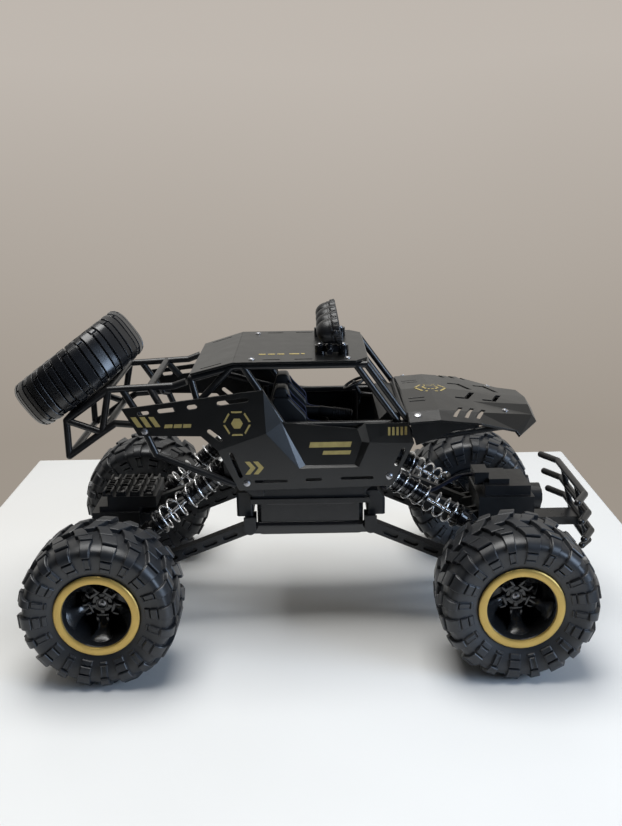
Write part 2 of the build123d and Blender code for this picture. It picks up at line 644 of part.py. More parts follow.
def shock_set(name, ends, centre_y):
    """Bodies, shafts and springs of one axle's two shock absorbers."""
    frames, length = shock_frames(ends, centre_y)
    (top_x, top_z), (low_x, low_z) = ends
    with BuildPart() as bodies:
        for frame in frames:
            y = frame.origin.Y
            add_turned(frame, [(2, 8, 4.4), (8, 10.6, SPRING_RADIUS + 0.1), (10.6, 40, SHOCK_BODY_RADIUS)])
            add_bar((top_x, y - SHOCK_EYE_WIDTH / 2, top_z), (top_x, y + SHOCK_EYE_WIDTH / 2, top_z), 4.6)
            add_turned(frame, [(16, 37, 4.5), (36, 41, SHOCK_SHAFT_RADIUS + PIN_PLAY)], mode=Mode.SUBTRACT)
            add_bar((top_x, y - 10, top_z), (top_x, y + 10, top_z), PIN_RADIUS + PIN_PLAY,
                    mode=Mode.SUBTRACT)
    save(bodies, f"{name}_shock_bodies")
    with BuildPart() as shafts:
        for frame in frames:
            y = frame.origin.Y
            add_turned(frame, [(24, 28, 4.4), (28, length - 5, SHOCK_SHAFT_RADIUS),
                               (length - 15, length - 13, SPRING_RADIUS + 0.1),
                               (length - 13, length - 3, 6.2)])
            half_eye = LOWER_EYE_WIDTH / 2
            add_bar((low_x, y - half_eye, low_z), (low_x, y + half_eye, low_z), 4.8)
            add_bar((low_x, y - 10, low_z), (low_x, y + 10, low_z), PIN_RADIUS + LOWER_EYE_PLAY,
                    mode=Mode.SUBTRACT)
    save(shafts, f"{name}_shock_shafts")
    with BuildPart() as springs:
        for frame in frames:
            ends_of_spring = (10.6, length - 15)
            add_turned(frame, [(*ends_of_spring, SPRING_RADIUS)])
            add_turned(frame, [(*ends_of_spring, SPRING_RADIUS - SPRING_WIRE)], mode=Mode.SUBTRACT)
    save(springs, f"{name}_springs")


for name, lower, offset, shock, shock_y in (
        ("rear", REAR_LINK, REAR_UPPER_OFFSET, REAR_SHOCK, REAR_SHOCK_Y),
        ("front", FRONT_LINK, FRONT_UPPER_OFFSET, FRONT_SHOCK, FRONT_SHOCK_Y)):
    save(links(*lower, LINK_Y, LINK_WIDTH), f"{name}_lower_links")
    upper = [shifted(end, offset) for end in lower]
    save(links(*upper, UPPER_LINK_Y, UPPER_LINK_WIDTH), f"{name}_upper_links")
    shock_set(name, shock, shock_y)


# ---------------------------------------------------------------- axles, gearboxes and gears
GEAR_Y = -8.0
GEAR_WIDTH = 6.0
GEAR_DISTANCE = (DRIVE_TEETH + PINION_TEETH) * GEAR_MODULE / 2 + 0.15
MOTOR_RADIUS = 8.0
MOTOR_Y = (-3.0, 20.0)
SHAFT_RADIUS = 2.4
AXLE_TUBE = 7.0
PUMPKIN_RADIUS = 16.5
SPLIT_Z = 56.0                  # the gearbox cover sits on the axle housing at this height
AXLES = {"rear": (REAR_AXLE_X, -1), "front": (FRONT_AXLE_X, 1)}


def motor_centre(axle_x, facing):
    """The motor shaft's X and Z."""
    angle = radians(MOTOR_ANGLE)
    return axle_x + facing * GEAR_DISTANCE * cos(angle), AXLE_HEIGHT + GEAR_DISTANCE * sin(angle)


def cut_gear_chambers(axle_x, facing):
    """Room for the axle shaft, the two gears and the motor."""
    motor_x, motor_z = motor_centre(axle_x, facing)
    add_bar((axle_x, -110, AXLE_HEIGHT), (axle_x, 110, AXLE_HEIGHT), SHAFT_RADIUS + PIN_PLAY,
            mode=Mode.SUBTRACT)
    add_bar((axle_x, GEAR_Y - 4.2, AXLE_HEIGHT), (axle_x, GEAR_Y + 4.2, AXLE_HEIGHT), 14,
            mode=Mode.SUBTRACT)
    add_bar((motor_x, GEAR_Y - 4.2, motor_z), (motor_x, MOTOR_Y[0] + 0.1, motor_z), 7,
            mode=Mode.SUBTRACT)
    add_bar((motor_x, MOTOR_Y[0], motor_z), (motor_x, MOTOR_Y[1], motor_z), MOTOR_RADIUS,
            mode=Mode.SUBTRACT)


def cover_box(axle_x, facing, near, far, low, high, half_width):
    """Corners of a block given by its distances ahead of the axle."""
    xs = sorted((axle_x + facing * near, axle_x + facing * far))
    return (xs[0], -half_width, low), (xs[1], half_width, high)


def axle_housing(name):
    """Axle tube with the lower half of the gear case and the suspension's ears."""
    axle_x, facing = AXLES[name]
    inward = -facing
    link = (FRONT_LINK if name == "front" else REAR_LINK)[1]
    shock = (FRONT_SHOCK if name == "front" else REAR_SHOCK)[1]
    shock_y = FRONT_SHOCK_Y if name == "front" else REAR_SHOCK_Y
    tube_end = 54.4 if name == "front" else 68
    with BuildPart() as housing:
        add_bar((axle_x, -tube_end, AXLE_HEIGHT), (axle_x, tube_end, AXLE_HEIGHT), AXLE_TUBE)
        add_bar((axle_x, -17, AXLE_HEIGHT), (axle_x, 22, AXLE_HEIGHT), PUMPKIN_RADIUS)
        add_block((axle_x - 30, -22.5, SPLIT_Z), (axle_x + 30, 22.5, 80), mode=Mode.SUBTRACT)
        cut_gear_chambers(axle_x, facing)
        for sign in SIDES.values():
            x, z = link
            ear = [(x, z - 4), (axle_x, AXLE_HEIGHT - 6), (axle_x, AXLE_HEIGHT + 6), (x, z + 4)]
            add_clevis(x, z, sign * LINK_Y, LINK_WIDTH, ear)
            x, z = shock
            ear = [(axle_x + inward * 6, 46), (axle_x - inward * 4, 52), (x + facing * 4, z + 4),
                   (x + inward * 4, z)]
            add_clevis(x, z, sign * shock_y, LOWER_EYE_WIDTH, ear)
        add_bar((axle_x, -tube_end - 1, AXLE_HEIGHT), (axle_x, -23, AXLE_HEIGHT), SHAFT_RADIUS + PIN_PLAY,
                mode=Mode.SUBTRACT)
        add_bar((axle_x, 23, AXLE_HEIGHT), (axle_x, tube_end + 1, AXLE_HEIGHT), SHAFT_RADIUS + PIN_PLAY,
                mode=Mode.SUBTRACT)
        if name == "front":
            for sign in SIDES.values():
                add_kingpin_yoke(axle_x, sign)
    return housing


def add_kingpin_yoke(axle_x, sign):
    """Fork around a steering knuckle, with a hole for the kingpin in each arm."""
    inner, face, outer = sign * 51.0, sign * 54.4, sign * (KINGPIN_Y + 5)
    add_block((axle_x - 6.5, min(inner, face), AXLE_HEIGHT - 15),
              (axle_x + 6.5, max(inner, face), AXLE_HEIGHT + 15))
    for low in (AXLE_HEIGHT - 15, AXLE_HEIGHT + 11.3):
        add_block((axle_x - 6.5, min(inner, sign * KINGPIN_Y), low),
                  (axle_x + 6.5, max(inner, sign * KINGPIN_Y), low + 3.7))
        add_bar((axle_x, sign * KINGPIN_Y, low), (axle_x, sign * KINGPIN_Y, low + 3.7), 6.5)
        add_bar((axle_x, sign * KINGPIN_Y, low), (axle_x, sign * KINGPIN_Y, low + 3.7), 2 + PIN_PLAY,
                mode=Mode.SUBTRACT)
    add_bar((axle_x, sign * 40, AXLE_HEIGHT), (axle_x, sign * 60, AXLE_HEIGHT), SHAFT_RADIUS + PIN_PLAY,
            mode=Mode.SUBTRACT)


def gearbox(name):
    """Upper half of the gear case, with the motor bay and the upper links' ears."""
    axle_x, facing = AXLES[name]
    rear = name == "rear"
    upper_end = shifted(REAR_LINK[1], REAR_UPPER_OFFSET) if rear else shifted(FRONT_LINK[1], FRONT_UPPER_OFFSET)
    near = -12.3 if rear else -10.8
    with BuildPart() as case:
        add_block(*cover_box(axle_x, facing, near, 21 if rear else 28, SPLIT_Z, 80, 22))
        if rear:
            add_block(*cover_box(axle_x, facing, -24, 10, 83, 91, 20))
            add_block(*cover_box(axle_x, facing, near, 16, 80, 84, 20))
            for index in range(4):
                x = axle_x + 22 - index * 9.5
                for y in (-19, -6, 7):
                    add_block((x - 7, y, 91), (x, y + 11.5, 92.4))
        else:
            add_block(*cover_box(axle_x, facing, near, 28, 80, 86.6, 22))
            add_block(*cover_box(axle_x, facing, -6, 26, 86.6, 93.4, 18))
            add_block(*cover_box(axle_x, facing, -12, -2, 91.4, 100.4, 9))
            add_block(*cover_box(axle_x, facing, -2.2, 12, 93.2, 96.4, 12))
            add_bar((axle_x + 27, 0, 79), (axle_x + 36, 0, 79), 9.5)
            add_bar((axle_x + 35, 0, 79), (axle_x + 37.4, 0, 79), 6)
        cut_gear_chambers(axle_x, facing)
        x, z = upper_end
        wall = axle_x + facing * near + facing * 1.0
        for sign in SIDES.values():
            ear = [(x, z - 4), (wall, z - 5), (wall, z + 5), (x, z + 4)]
            add_clevis(x, z, sign * UPPER_LINK_Y, UPPER_LINK_WIDTH, ear)
    return case


for name, (axle_x, facing) in AXLES.items():
    save(axle_housing(name), f"{name}_axle_housing")
    save(gearbox(name), f"{name}_gearbox")
    motor_x, motor_z = motor_centre(axle_x, facing)
    with BuildPart() as motor:
        add_bar((motor_x, MOTOR_Y[0], motor_z), (motor_x, MOTOR_Y[1], motor_z), MOTOR_RADIUS)
        add_bar((motor_x, MOTOR_Y[0] - 1, motor_z), (motor_x, MOTOR_Y[0] + 12, motor_z), 1 + PIN_PLAY,
                mode=Mode.SUBTRACT)
    save(motor, f"{name}_motor")
    with BuildPart() as blank:
        add_gear(DRIVE_TEETH, GEAR_WIDTH, 0)
    with BuildPart() as drive_gear:
        add(blank.part.moved(Location((axle_x, GEAR_Y, AXLE_HEIGHT))))
        reach = 53 if name == "front" else 92
        add_bar((axle_x, -reach, AXLE_HEIGHT), (axle_x, reach, AXLE_HEIGHT), SHAFT_RADIUS)
    save(drive_gear, f"{name}_drive_gear")
    # The pinion is turned so that one of its gaps faces a tooth of the drive gear
    mesh_angle = facing * MOTOR_ANGLE if facing > 0 else 180 - MOTOR_ANGLE
    tooth = (mesh_angle * DRIVE_TEETH / 360) % 1
    turn = mesh_angle + 180 - (0.5 - tooth) * 360 / PINION_TEETH
    with BuildPart() as pinion_blank:
        add_gear(PINION_TEETH, GEAR_WIDTH, 0)
    with BuildPart() as pinion:
        add(pinion_blank.part.rotate(Axis.Y, -turn).moved(Location((motor_x, GEAR_Y, motor_z))))
        add_bar((motor_x, GEAR_Y, motor_z), (motor_x, MOTOR_Y[0] + 11, motor_z), 1)
    save(pinion, f"{name}_pinion")


# ---------------------------------------------------------------- steering
arm_x = FRONT_AXLE_X + STEERING_ARM
for side, sign in SIDES.items():
    y = sign * KINGPIN_Y
    with BuildPart() as knuckle:
        add_bar((FRONT_AXLE_X, y, AXLE_HEIGHT - 11), (FRONT_AXLE_X, y, AXLE_HEIGHT + 11), 7)
        add_bar((FRONT_AXLE_X, y, AXLE_HEIGHT), (FRONT_AXLE_X, y + sign * 10, AXLE_HEIGHT), 6)
        add_bar((FRONT_AXLE_X, y, AXLE_HEIGHT - 15), (FRONT_AXLE_X, y, AXLE_HEIGHT + 15), 2)
        add_block((FRONT_AXLE_X, y - 2.6, TIE_ROD_Z - 8), (arm_x, y + 2.6, TIE_ROD_Z - 4))
        add_bar((arm_x, y, TIE_ROD_Z - 8), (arm_x, y, TIE_ROD_Z - 4), 3.4)
        add_bar((arm_x, y, TIE_ROD_Z - 4), (arm_x, y, TIE_ROD_Z + 3.6), 1.4)
        add_bar((FRONT_AXLE_X, y - 12, AXLE_HEIGHT), (FRONT_AXLE_X, y + 12, AXLE_HEIGHT),
                SHAFT_RADIUS + PIN_PLAY, mode=Mode.SUBTRACT)
    save(knuckle, f"knuckle_{side}")

with BuildPart() as tie_rod:
    add_bar((arm_x, -KINGPIN_Y + 5, TIE_ROD_Z - 1), (arm_x, KINGPIN_Y - 5, TIE_ROD_Z - 1), 1.7)
    for sign in SIDES.values():
        y = sign * KINGPIN_Y
        add_bar((arm_x, y, TIE_ROD_Z - 3), (arm_x, y, TIE_ROD_Z + 1), 5.6)
        add_bar((arm_x, y, TIE_ROD_Z - 4), (arm_x, y, TIE_ROD_Z + 2), 1.4 + 1.9, mode=Mode.SUBTRACT)
save(tie_rod, "tie_rod")

BUMPER_BARS = ((190.0, 93.0), (193.2, 79.5), (196.4, 66.0), (199.1, 53.0))
with BuildPart() as front_bumper:
    for (x, z), swept, half_width in zip(BUMPER_BARS, (9, 9, 9, 7), (52, 52, 50, 30)):
        ends = [(x - swept, -half_width, z), (x, -36 * half_width / 52, z), (x, 36 * half_width / 52, z),
                (x - swept, half_width, z)]
        add_tube_run(ends, 2.4)
        for tip in (ends[0], ends[-1]):
            with Locations(tip):
                Sphere(2.4)
    for sign in SIDES.values():
        add_tube_run([(x - 0.5, sign * 18, z) for x, z in BUMPER_BARS], 2.0)
    add_block((FRONT_AXLE_X + 28.05, -9, 60), (197, 9, 66))
save(front_bumper, "front_bumper")


# ---------------------------------------------------------------- wheels
RING_FACE = 22.6
RIM_EDGE = 20.8


def turned_wheel_piece(outline):
    """Ring or disc from an outline of radius and distance outboard of the tyre's middle."""
    with BuildPart() as piece:
        with BuildSketch(Plane.XZ):
            with BuildLine():
                Polyline(*outline, close=True)
            make_face()
        revolve(axis=Axis.Z)
    return piece.part


with BuildPart() as tyre_shape:
    add(turned_wheel_piece([
        (24, -19.6), (27, -20.6), (36, -24.5), (43, -26.75), (48, -23), (50, -15), (50, 15), (48, 23),
        (43, 26.75), (36, 24.5), (27, 20.6), (24, 19.6), (24, 17), (27, 17.4), (36, 21), (42, 22.6),
        (45.5, 18), (46.5, 0), (45.5, -18), (42, -22.6), (36, -21), (27, -17.4), (24, -17)]))
with BuildPart() as ring_shape:
    add(turned_wheel_piece([(21.4, 20.8), (26.5, 20.8), (26.5, 22), (25.6, RING_FACE), (22.2, RING_FACE),
                            (21.4, 22)]))
with BuildPart() as rim_shape:
    add(turned_wheel_piece([(20.8, -RIM_EDGE), (23.9, -RIM_EDGE), (23.9, RIM_EDGE), (20.8, RIM_EDGE)]))
    add(turned_wheel_piece([(0, -1), (21, 6), (21, 11), (9, 3.5), (0, 3.5)]))
    with PolarLocations(14.2, 5, start_angle=18):
        add_bar((0, 0, 0), (0, 0, 20), 4.6, mode=Mode.SUBTRACT)
    add_bar((0, 0, -14), (0, 0, 3.5), 6)
    add_bar((0, 0, -2.6), (0, 0, 6), SCREW_SHANK + PIN_PLAY, mode=Mode.SUBTRACT)
with BuildPart() as screw_shape:
    add_bar((0, 0, 3.5), (0, 0, 5.6), 2.6)
    add_bar((0, 0, -2.5), (0, 0, 3.5), SCREW_SHANK)
    with BuildSketch(Plane.XY.offset(5.6)) as socket:
        RegularPolygon(1.3, 6)
    extrude(socket.sketch, amount=-1.4, mode=Mode.SUBTRACT)


def wheel_place(axle_x, sign):
    """Where a wheel's middle sits, with its outboard side along Z."""
    return Plane(origin=(axle_x, sign * HALF_TRACK, AXLE_HEIGHT), x_dir=(1, 0, 0),
                 z_dir=(0, sign, 0)).location


for name, (axle_x, facing) in AXLES.items():
    for side, sign in SIDES.items():
        place = wheel_place(axle_x, sign)
        with BuildPart() as tyre:
            add(tyre_shape.part.moved(place))
        save(tyre, f"{name}_{side}_tyre")
        with BuildPart() as rim:
            add(rim_shape.part.moved(place))
            if name == "front":
                add_bar((axle_x, sign * (KINGPIN_Y - 5), AXLE_HEIGHT), (axle_x, sign * 90, AXLE_HEIGHT),
                        SHAFT_RADIUS)
            else:
                add_bar((axle_x, sign * 70, AXLE_HEIGHT), (axle_x, sign * 92.1, AXLE_HEIGHT),
                        SHAFT_RADIUS + 0.02, mode=Mode.SUBTRACT)
        save(rim, f"{name}_{side}_rim")
        if name == "front":
            for shape, label in ((ring_shape, "bead_ring"), (screw_shape, "wheel_screw")):
                with BuildPart() as piece:
                    add(shape.part.moved(place))
                save(piece, f"{name}_{side}_{label}")
for shape, label in ((ring_shape, "rear_bead_rings"), (screw_shape, "rear_wheel_screws")):
    with BuildPart() as pair:
        for sign in SIDES.values():
            add(shape.part.moved(wheel_place(REAR_AXLE_X, sign)))
    save(pair, label)


# ---------------------------------------------------------------- front motor lead
LEAD_RADIUS = 1.3
LEAD_ROUTE = ((119.8, 0, 96), (112, 0, 96), (103, -1.2, 91.8), (92.5, -2.2, 85.6), (80, -2, 83.6),
              (67, 0, 87.5), (END_BOX_X[1], 0, 87.5))


def lead_radii(route):
    """Largest bend radius that each corner of a route leaves room for."""
    points = [Vector(*point) for point in route]
    radii = []
    for before, corner, after in zip(points, points[1:], points[2:]):
        turn = (corner - before).get_angle(after - corner)
        shorter = min((corner - before).length, (after - corner).length)
        radii.append(0.45 * shorter / tan(radians(turn / 2)))
    return radii


bends = lead_radii(LEAD_ROUTE)
print("lead bend radii:", [round(bend, 1) for bend in bends])
with BuildPart() as motor_lead:
    with BuildLine() as route:
        FilletPolyline(*LEAD_ROUTE, radius=bends)
    start = Vector(*LEAD_ROUTE[0])
    with BuildSketch(Plane(origin=start, z_dir=Vector(*LEAD_ROUTE[1]) - start)):
        Circle(LEAD_RADIUS)
    sweep(path=route.wires()[0])
lead_length = route.wires()[0].length
print("lead length:", round(lead_length, 1), "volume over section times length:",
      round(motor_lead.part.volume / (pi * LEAD_RADIUS ** 2 * lead_length), 4))
save(motor_lead, "motor_lead")
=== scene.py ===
"""Looks of the radio-controlled rock crawler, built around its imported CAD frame.

Lengths in the builders below are millimetres in the frame's own axes; MM turns them into metres.
"""

import json
from math import cos, hypot, pi, radians, sin

import bmesh
import bpy
import numpy as np
from mathutils import Matrix, Vector
from mathutils.bvhtree import BVHTree


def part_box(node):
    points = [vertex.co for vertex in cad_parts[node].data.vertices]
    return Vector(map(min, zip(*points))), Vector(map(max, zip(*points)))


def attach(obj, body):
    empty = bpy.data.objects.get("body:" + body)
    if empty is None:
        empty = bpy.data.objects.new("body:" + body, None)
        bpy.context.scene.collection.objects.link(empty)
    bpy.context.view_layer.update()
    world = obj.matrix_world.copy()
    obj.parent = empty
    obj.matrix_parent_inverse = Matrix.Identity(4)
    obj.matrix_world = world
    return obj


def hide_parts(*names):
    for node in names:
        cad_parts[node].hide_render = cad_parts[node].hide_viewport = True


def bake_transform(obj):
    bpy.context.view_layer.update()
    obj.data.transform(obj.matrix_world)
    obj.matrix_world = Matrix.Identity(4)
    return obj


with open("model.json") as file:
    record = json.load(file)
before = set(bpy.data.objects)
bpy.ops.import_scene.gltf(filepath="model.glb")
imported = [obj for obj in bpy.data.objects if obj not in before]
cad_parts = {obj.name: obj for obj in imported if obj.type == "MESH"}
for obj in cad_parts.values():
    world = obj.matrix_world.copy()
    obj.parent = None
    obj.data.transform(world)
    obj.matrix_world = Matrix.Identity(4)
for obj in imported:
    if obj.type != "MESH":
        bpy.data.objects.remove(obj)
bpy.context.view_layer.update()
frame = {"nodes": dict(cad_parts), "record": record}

MM = 0.001
SIDES = {"right": -1, "left": 1}
# Wheel centres
WHEEL_Z = 50.0
HALF_TRACK = 95.75
AXLE_X = {"rear": -127.8, "front": 131.8}
# Half-width of the body at its rear quarters, to the middle of its sheet, and the sheet's thickness
QUARTER_Y = 56.0
SHEET = 1.4


# ---------------------------------------------------------------- shader nodes
def link(tree, source, output, target, socket):
    tree.links.new(source.outputs[output], target.inputs[socket])


def noise(tree, scale, detail=4.0, stretch=(1, 1, 1)):
    """Noise in object coordinates, in metres; stretch squeezes its pattern along an axis."""
    place = tree.nodes.new("ShaderNodeTexCoord")
    mapping = tree.nodes.new("ShaderNodeMapping")
    mapping.inputs["Scale"].default_value = stretch
    texture = tree.nodes.new("ShaderNodeTexNoise")
    texture.inputs["Scale"].default_value = scale
    texture.inputs["Detail"].default_value = detail
    link(tree, place, "Object", mapping, "Vector")
    link(tree, mapping, "Vector", texture, "Vector")
    return texture


def ramp(tree, source, output, stops):
    """Colour ramp of two stops, each a position and a colour."""
    node = tree.nodes.new("ShaderNodeValToRGB")
    for element, (position, colour) in zip(node.color_ramp.elements, stops):
        element.position = position
        element.color = (*colour, 1)
    link(tree, source, output, node, "Fac")
    return node


def map_range(tree, source, output, given, wanted=(0, 1)):
    """Turns values between the given limits into values between the wanted ones."""
    node = tree.nodes.new("ShaderNodeMapRange")
    node.inputs["From Min"].default_value, node.inputs["From Max"].default_value = given
    node.inputs["To Min"].default_value, node.inputs["To Max"].default_value = wanted
    link(tree, source, output, node, "Value")
    return node


def background(tree, colour):
    node = tree.nodes.new("ShaderNodeBackground")
    node.inputs["Color"].default_value = (*colour, 1)
    return node


def mix_shaders(tree, source, output, first, second):
    """Goes from the first shader to the second as the source goes from 0 to 1."""
    node = tree.nodes.new("ShaderNodeMixShader")
    link(tree, source, output, node, 0)
    link(tree, first, 0, node, 1)
    link(tree, second, 0, node, 2)
    return node


# ---------------------------------------------------------------- camera, lights and world
CAMERA_PLACE = (0.0060, -0.64467, 0.32306)
CAMERA_ANGLES = (-0.0013, 0.2715, 0.0179)
SENSOR = 36
FOCAL_LENGTH = 41.567


def add_camera():
    """Camera that looks along +Y, turned by its yaw, its pitch downwards and its roll, in radians."""
    yaw, pitch, roll = CAMERA_ANGLES
    forward = Vector((sin(yaw) * cos(pitch), cos(yaw) * cos(pitch), -sin(pitch)))
    level = Vector((cos(yaw), -sin(yaw), 0))
    down = forward.cross(level)
    across = cos(roll) * level + sin(roll) * down
    below = -sin(roll) * level + cos(roll) * down
    data = bpy.data.cameras.new("camera")
    data.sensor_width = SENSOR
    data.lens = FOCAL_LENGTH
    data.clip_start = 0.01
    camera = bpy.data.objects.new("camera", data)
    turn = Matrix((across, -below, -forward)).transposed().to_4x4()
    camera.matrix_world = Matrix.Translation(CAMERA_PLACE) @ turn
    bpy.context.scene.collection.objects.link(camera)
    bpy.context.scene.camera = camera


def add_light(name, place, aim, size, power, colour):
    """Rectangular light at a place, turned towards its aim, in metres and watts."""
    data = bpy.data.lights.new(name, "AREA")
    data.shape = "RECTANGLE"
    data.size = size[0]
    data.size_y = size[1]
    data.energy = power
    data.color = colour
    light = bpy.data.objects.new(name, data)
    light.location = place
    light.rotation_euler = (Vector(aim) - Vector(place)).to_track_quat("-Z", "Y").to_euler()
    bpy.context.scene.collection.objects.link(light)


add_camera()
add_light("ceiling", (-0.1, 0.0, 1.35), (0, 0, 0), (1.1, 0.9), 22, (1.0, 0.995, 0.975))
add_light("window", (1.1, -0.68, 0.42), (0.05, 0, 0.12), (0.6, 0.7), 12.5, (0.60, 0.76, 1.0))


def add_world():
    """The camera sees a warm wall; the part is lit by a room that is dim in front and light behind."""
    world = bpy.data.worlds.new("room")
    world.use_nodes = True
    tree = world.node_tree
    direction = tree.nodes.new("ShaderNodeTexCoord")
    split = tree.nodes.new("ShaderNodeSeparateXYZ")
    link(tree, direction, "Generated", split, 0)
    # The wall is brighter towards its top, and a little uneven
    cloudy = tree.nodes.new("ShaderNodeTexNoise")
    cloudy.inputs["Scale"].default_value = 1.6
    cloudy.inputs["Detail"].default_value = 2
    link(tree, direction, "Generated", cloudy, "Vector")
    rise = map_range(tree, split, "Z", (-0.28, 0.16))
    level = tree.nodes.new("ShaderNodeMath")
    level.operation = "MULTIPLY_ADD"
    level.inputs[1].default_value = 0.35
    link(tree, cloudy, "Fac", level, 0)
    link(tree, rise, "Result", level, 2)
    plaster = ramp(tree, level, 0, [(0.12, (0.335, 0.295, 0.252)), (1.0, (0.52, 0.475, 0.43))])
    wall = tree.nodes["Background"]
    link(tree, plaster, "Color", wall, "Color")
    facing = map_range(tree, split, "Y", (-0.35, 0.85))
    facing.interpolation_type = "SMOOTHSTEP"
    dim = background(tree, (0.012, 0.012, 0.013))
    lit = background(tree, (0.53, 0.515, 0.485))
    room = mix_shaders(tree, facing, "Result", dim, lit)
    seen = tree.nodes.new("ShaderNodeLightPath")
    either = mix_shaders(tree, seen, "Is Camera Ray", room, wall)
    link(tree, either, 0, tree.nodes["World Output"], "Surface")
    bpy.context.scene.world = world


add_world()
bpy.context.scene.view_settings.view_transform = "Standard"


# ---------------------------------------------------------------- materials
def new_material(name):
    material = bpy.data.materials.new(name)
    material.use_nodes = True
    return material, material.node_tree, material.node_tree.nodes["Principled BSDF"]


def shade(colour, factor):
    return tuple(min(1, c * factor) for c in colour)


def surface(name, colour, rough=0.4, metallic=0.0, spread=0.25, patch=40.0, grain=1800.0, bump=0.02,
            rough_spread=0.08, edge=None, edge_radius=0.35, stretch=(1, 1, 1), specular=0.5):
    """Procedural finish: patchy colour, uneven gloss, fine grain, and rounded edges with a painted highlight
    colour.

    spread is how far the colour varies, patch and grain are the scales of its noise, bump is the
    grain's height and edge_radius the width of the rounded edge, in millimetres, and edge the colour of the
    painted highlight along it.
    """
    material, tree, shader = new_material(name)
    shader.inputs["Metallic"].default_value = metallic
    shader.inputs["Specular IOR Level"].default_value = specular
    cloudy = noise(tree, patch, 5, stretch)
    dark, light = shade(colour, 1 - spread), shade(colour, 1 + spread)
    paint = ramp(tree, cloudy, "Fac", [(0.32, dark), (0.68, light)])
    limits = (max(0.02, rough - rough_spread), min(1.0, rough + rough_spread))
    gloss = map_range(tree, noise(tree, patch * 3.1, 4, stretch), "Fac", (0, 1), limits)
    link(tree, gloss, "Result", shader, "Roughness")
    fine = noise(tree, grain, 2, stretch)
    relief = tree.nodes.new("ShaderNodeBump")
    relief.inputs["Strength"].default_value = 1.0
    relief.inputs["Distance"].default_value = bump * MM
    link(tree, fine, "Fac", relief, "Height")
    link(tree, relief, "Normal", shader, "Normal")
    if edge is None:
        link(tree, paint, "Color", shader, "Base Color")
        return material
    # Edges: rounded normals, and a painted highlight colour, broken up by noise, where they leave the true
    # ones
    rounded = tree.nodes.new("ShaderNodeBevel")
    rounded.samples = 4
    rounded.inputs["Radius"].default_value = edge_radius * MM
    link(tree, rounded, "Normal", relief, "Normal")
    geometry = tree.nodes.new("ShaderNodeNewGeometry")
    dot = tree.nodes.new("ShaderNodeVectorMath")
    dot.operation = "DOT_PRODUCT"
    link(tree, rounded, "Normal", dot, 0)
    link(tree, geometry, "True Normal", dot, 1)
    # Mask of the painted edge highlight: where the rounded normal leaves the true one
    edge_highlight_mask = map_range(tree, dot, "Value", (0.98, 0.8))
    broken_edge_highlight = tree.nodes.new("ShaderNodeMath")
    broken_edge_highlight.operation = "MULTIPLY"
    link(tree, edge_highlight_mask, "Result", broken_edge_highlight, 0)
    link(tree, noise(tree, 260, 5), "Fac", broken_edge_highlight, 1)
    mix = tree.nodes.new("ShaderNodeMix")
    mix.data_type = "RGBA"
    # Sockets 6 and 7 are the mix node's two colours, and output 2 its colour
    link(tree, broken_edge_highlight, 0, mix, 0)
    link(tree, paint, "Color", mix, 6)
    mix.inputs[7].default_value = (*edge, 1)
    link(tree, mix, 2, shader, "Base Color")
    return material


def glass(name, colour):
    material, tree, shader = new_material(name)
    shader.inputs["Transmission Weight"].default_value = 0.85
    shader.inputs["IOR"].default_value = 1.49
    tint = ramp(tree, noise(tree, 120, 3), "Fac", [(0.3, shade(colour, 0.93)), (0.7, colour)])
    link(tree, tint, "Color", shader, "Base Color")
    gloss = map_range(tree, noise(tree, 400, 3), "Fac", (0, 1), (0.03, 0.12))
    link(tree, gloss, "Result", shader, "Roughness")
    return material


# The edge colours below are painted highlights along the rounded edges
SHEET_BLACK = surface("sheet_black", (0.0042, 0.0043, 0.0044), 0.31, spread=0.12, patch=30, grain=3200,
                      bump=0.012, rough_spread=0.05, edge=(0.06, 0.06, 0.06), specular=0.6)
PLASTIC = surface("black_plastic", (0.012, 0.012, 0.0125), 0.42, spread=0.2, patch=70, grain=2400, bump=0.02,
                  edge=(0.035, 0.035, 0.036))
BOX_PLASTIC = surface("box_plastic", (0.007, 0.007, 0.0075), 0.24, spread=0.2, patch=60, grain=2200,
                      bump=0.012, edge=(0.03, 0.03, 0.031))
TUBE_BLACK = surface("tube_black", (0.010, 0.010, 0.0105), 0.3, spread=0.2, patch=60, grain=2600, bump=0.012,
                     edge=(0.03, 0.03, 0.03))
GLOSS = surface("gloss_black", (0.007, 0.007, 0.008), 0.15, spread=0.2, patch=50, grain=900, bump=0.006,
                rough_spread=0.04, edge=(0.02, 0.02, 0.022), edge_radius=0.5, specular=0.6)
LAMP_BLACK = surface("lamp_black", (0.0105, 0.0105, 0.0115), 0.36, spread=0.2, patch=60, grain=1400,
                     bump=0.01, rough_spread=0.05, edge=(0.12, 0.12, 0.125), edge_radius=0.3,
                     specular=0.45)
RUBBER = surface("tyre_rubber", (0.0135, 0.0150, 0.018), 0.4, spread=0.22, patch=55, grain=2600, bump=0.03,
                 rough_spread=0.09, edge=(0.055, 0.058, 0.064), edge_radius=0.3, specular=0.6)
SPARE_RUBBER = surface("spare_gloss", (0.009, 0.0095, 0.011), 0.26, spread=0.2, patch=60, grain=1500,
                       bump=0.012, rough_spread=0.06, edge=(0.11, 0.11, 0.12), edge_radius=0.3, specular=0.6)
GOLD = surface("gold_ring", (0.60, 0.405, 0.115), 0.36, 0.55, spread=0.07, patch=90, grain=3000, bump=0.006,
               rough_spread=0.06)
GOLD_PRINT = surface("gold_print", (0.42, 0.33, 0.12), 0.42, 0.25, spread=0.12, patch=300, grain=3000,
                     bump=0.008)
STEEL = surface("steel_screw", (0.5, 0.5, 0.52), 0.33, 1.0, spread=0.1, patch=400, grain=1600, bump=0.01)
CHROME = surface("chrome", (0.80, 0.81, 0.84), 0.1, 1.0, spread=0.05, patch=200, grain=900, bump=0.004,
                 rough_spread=0.04)
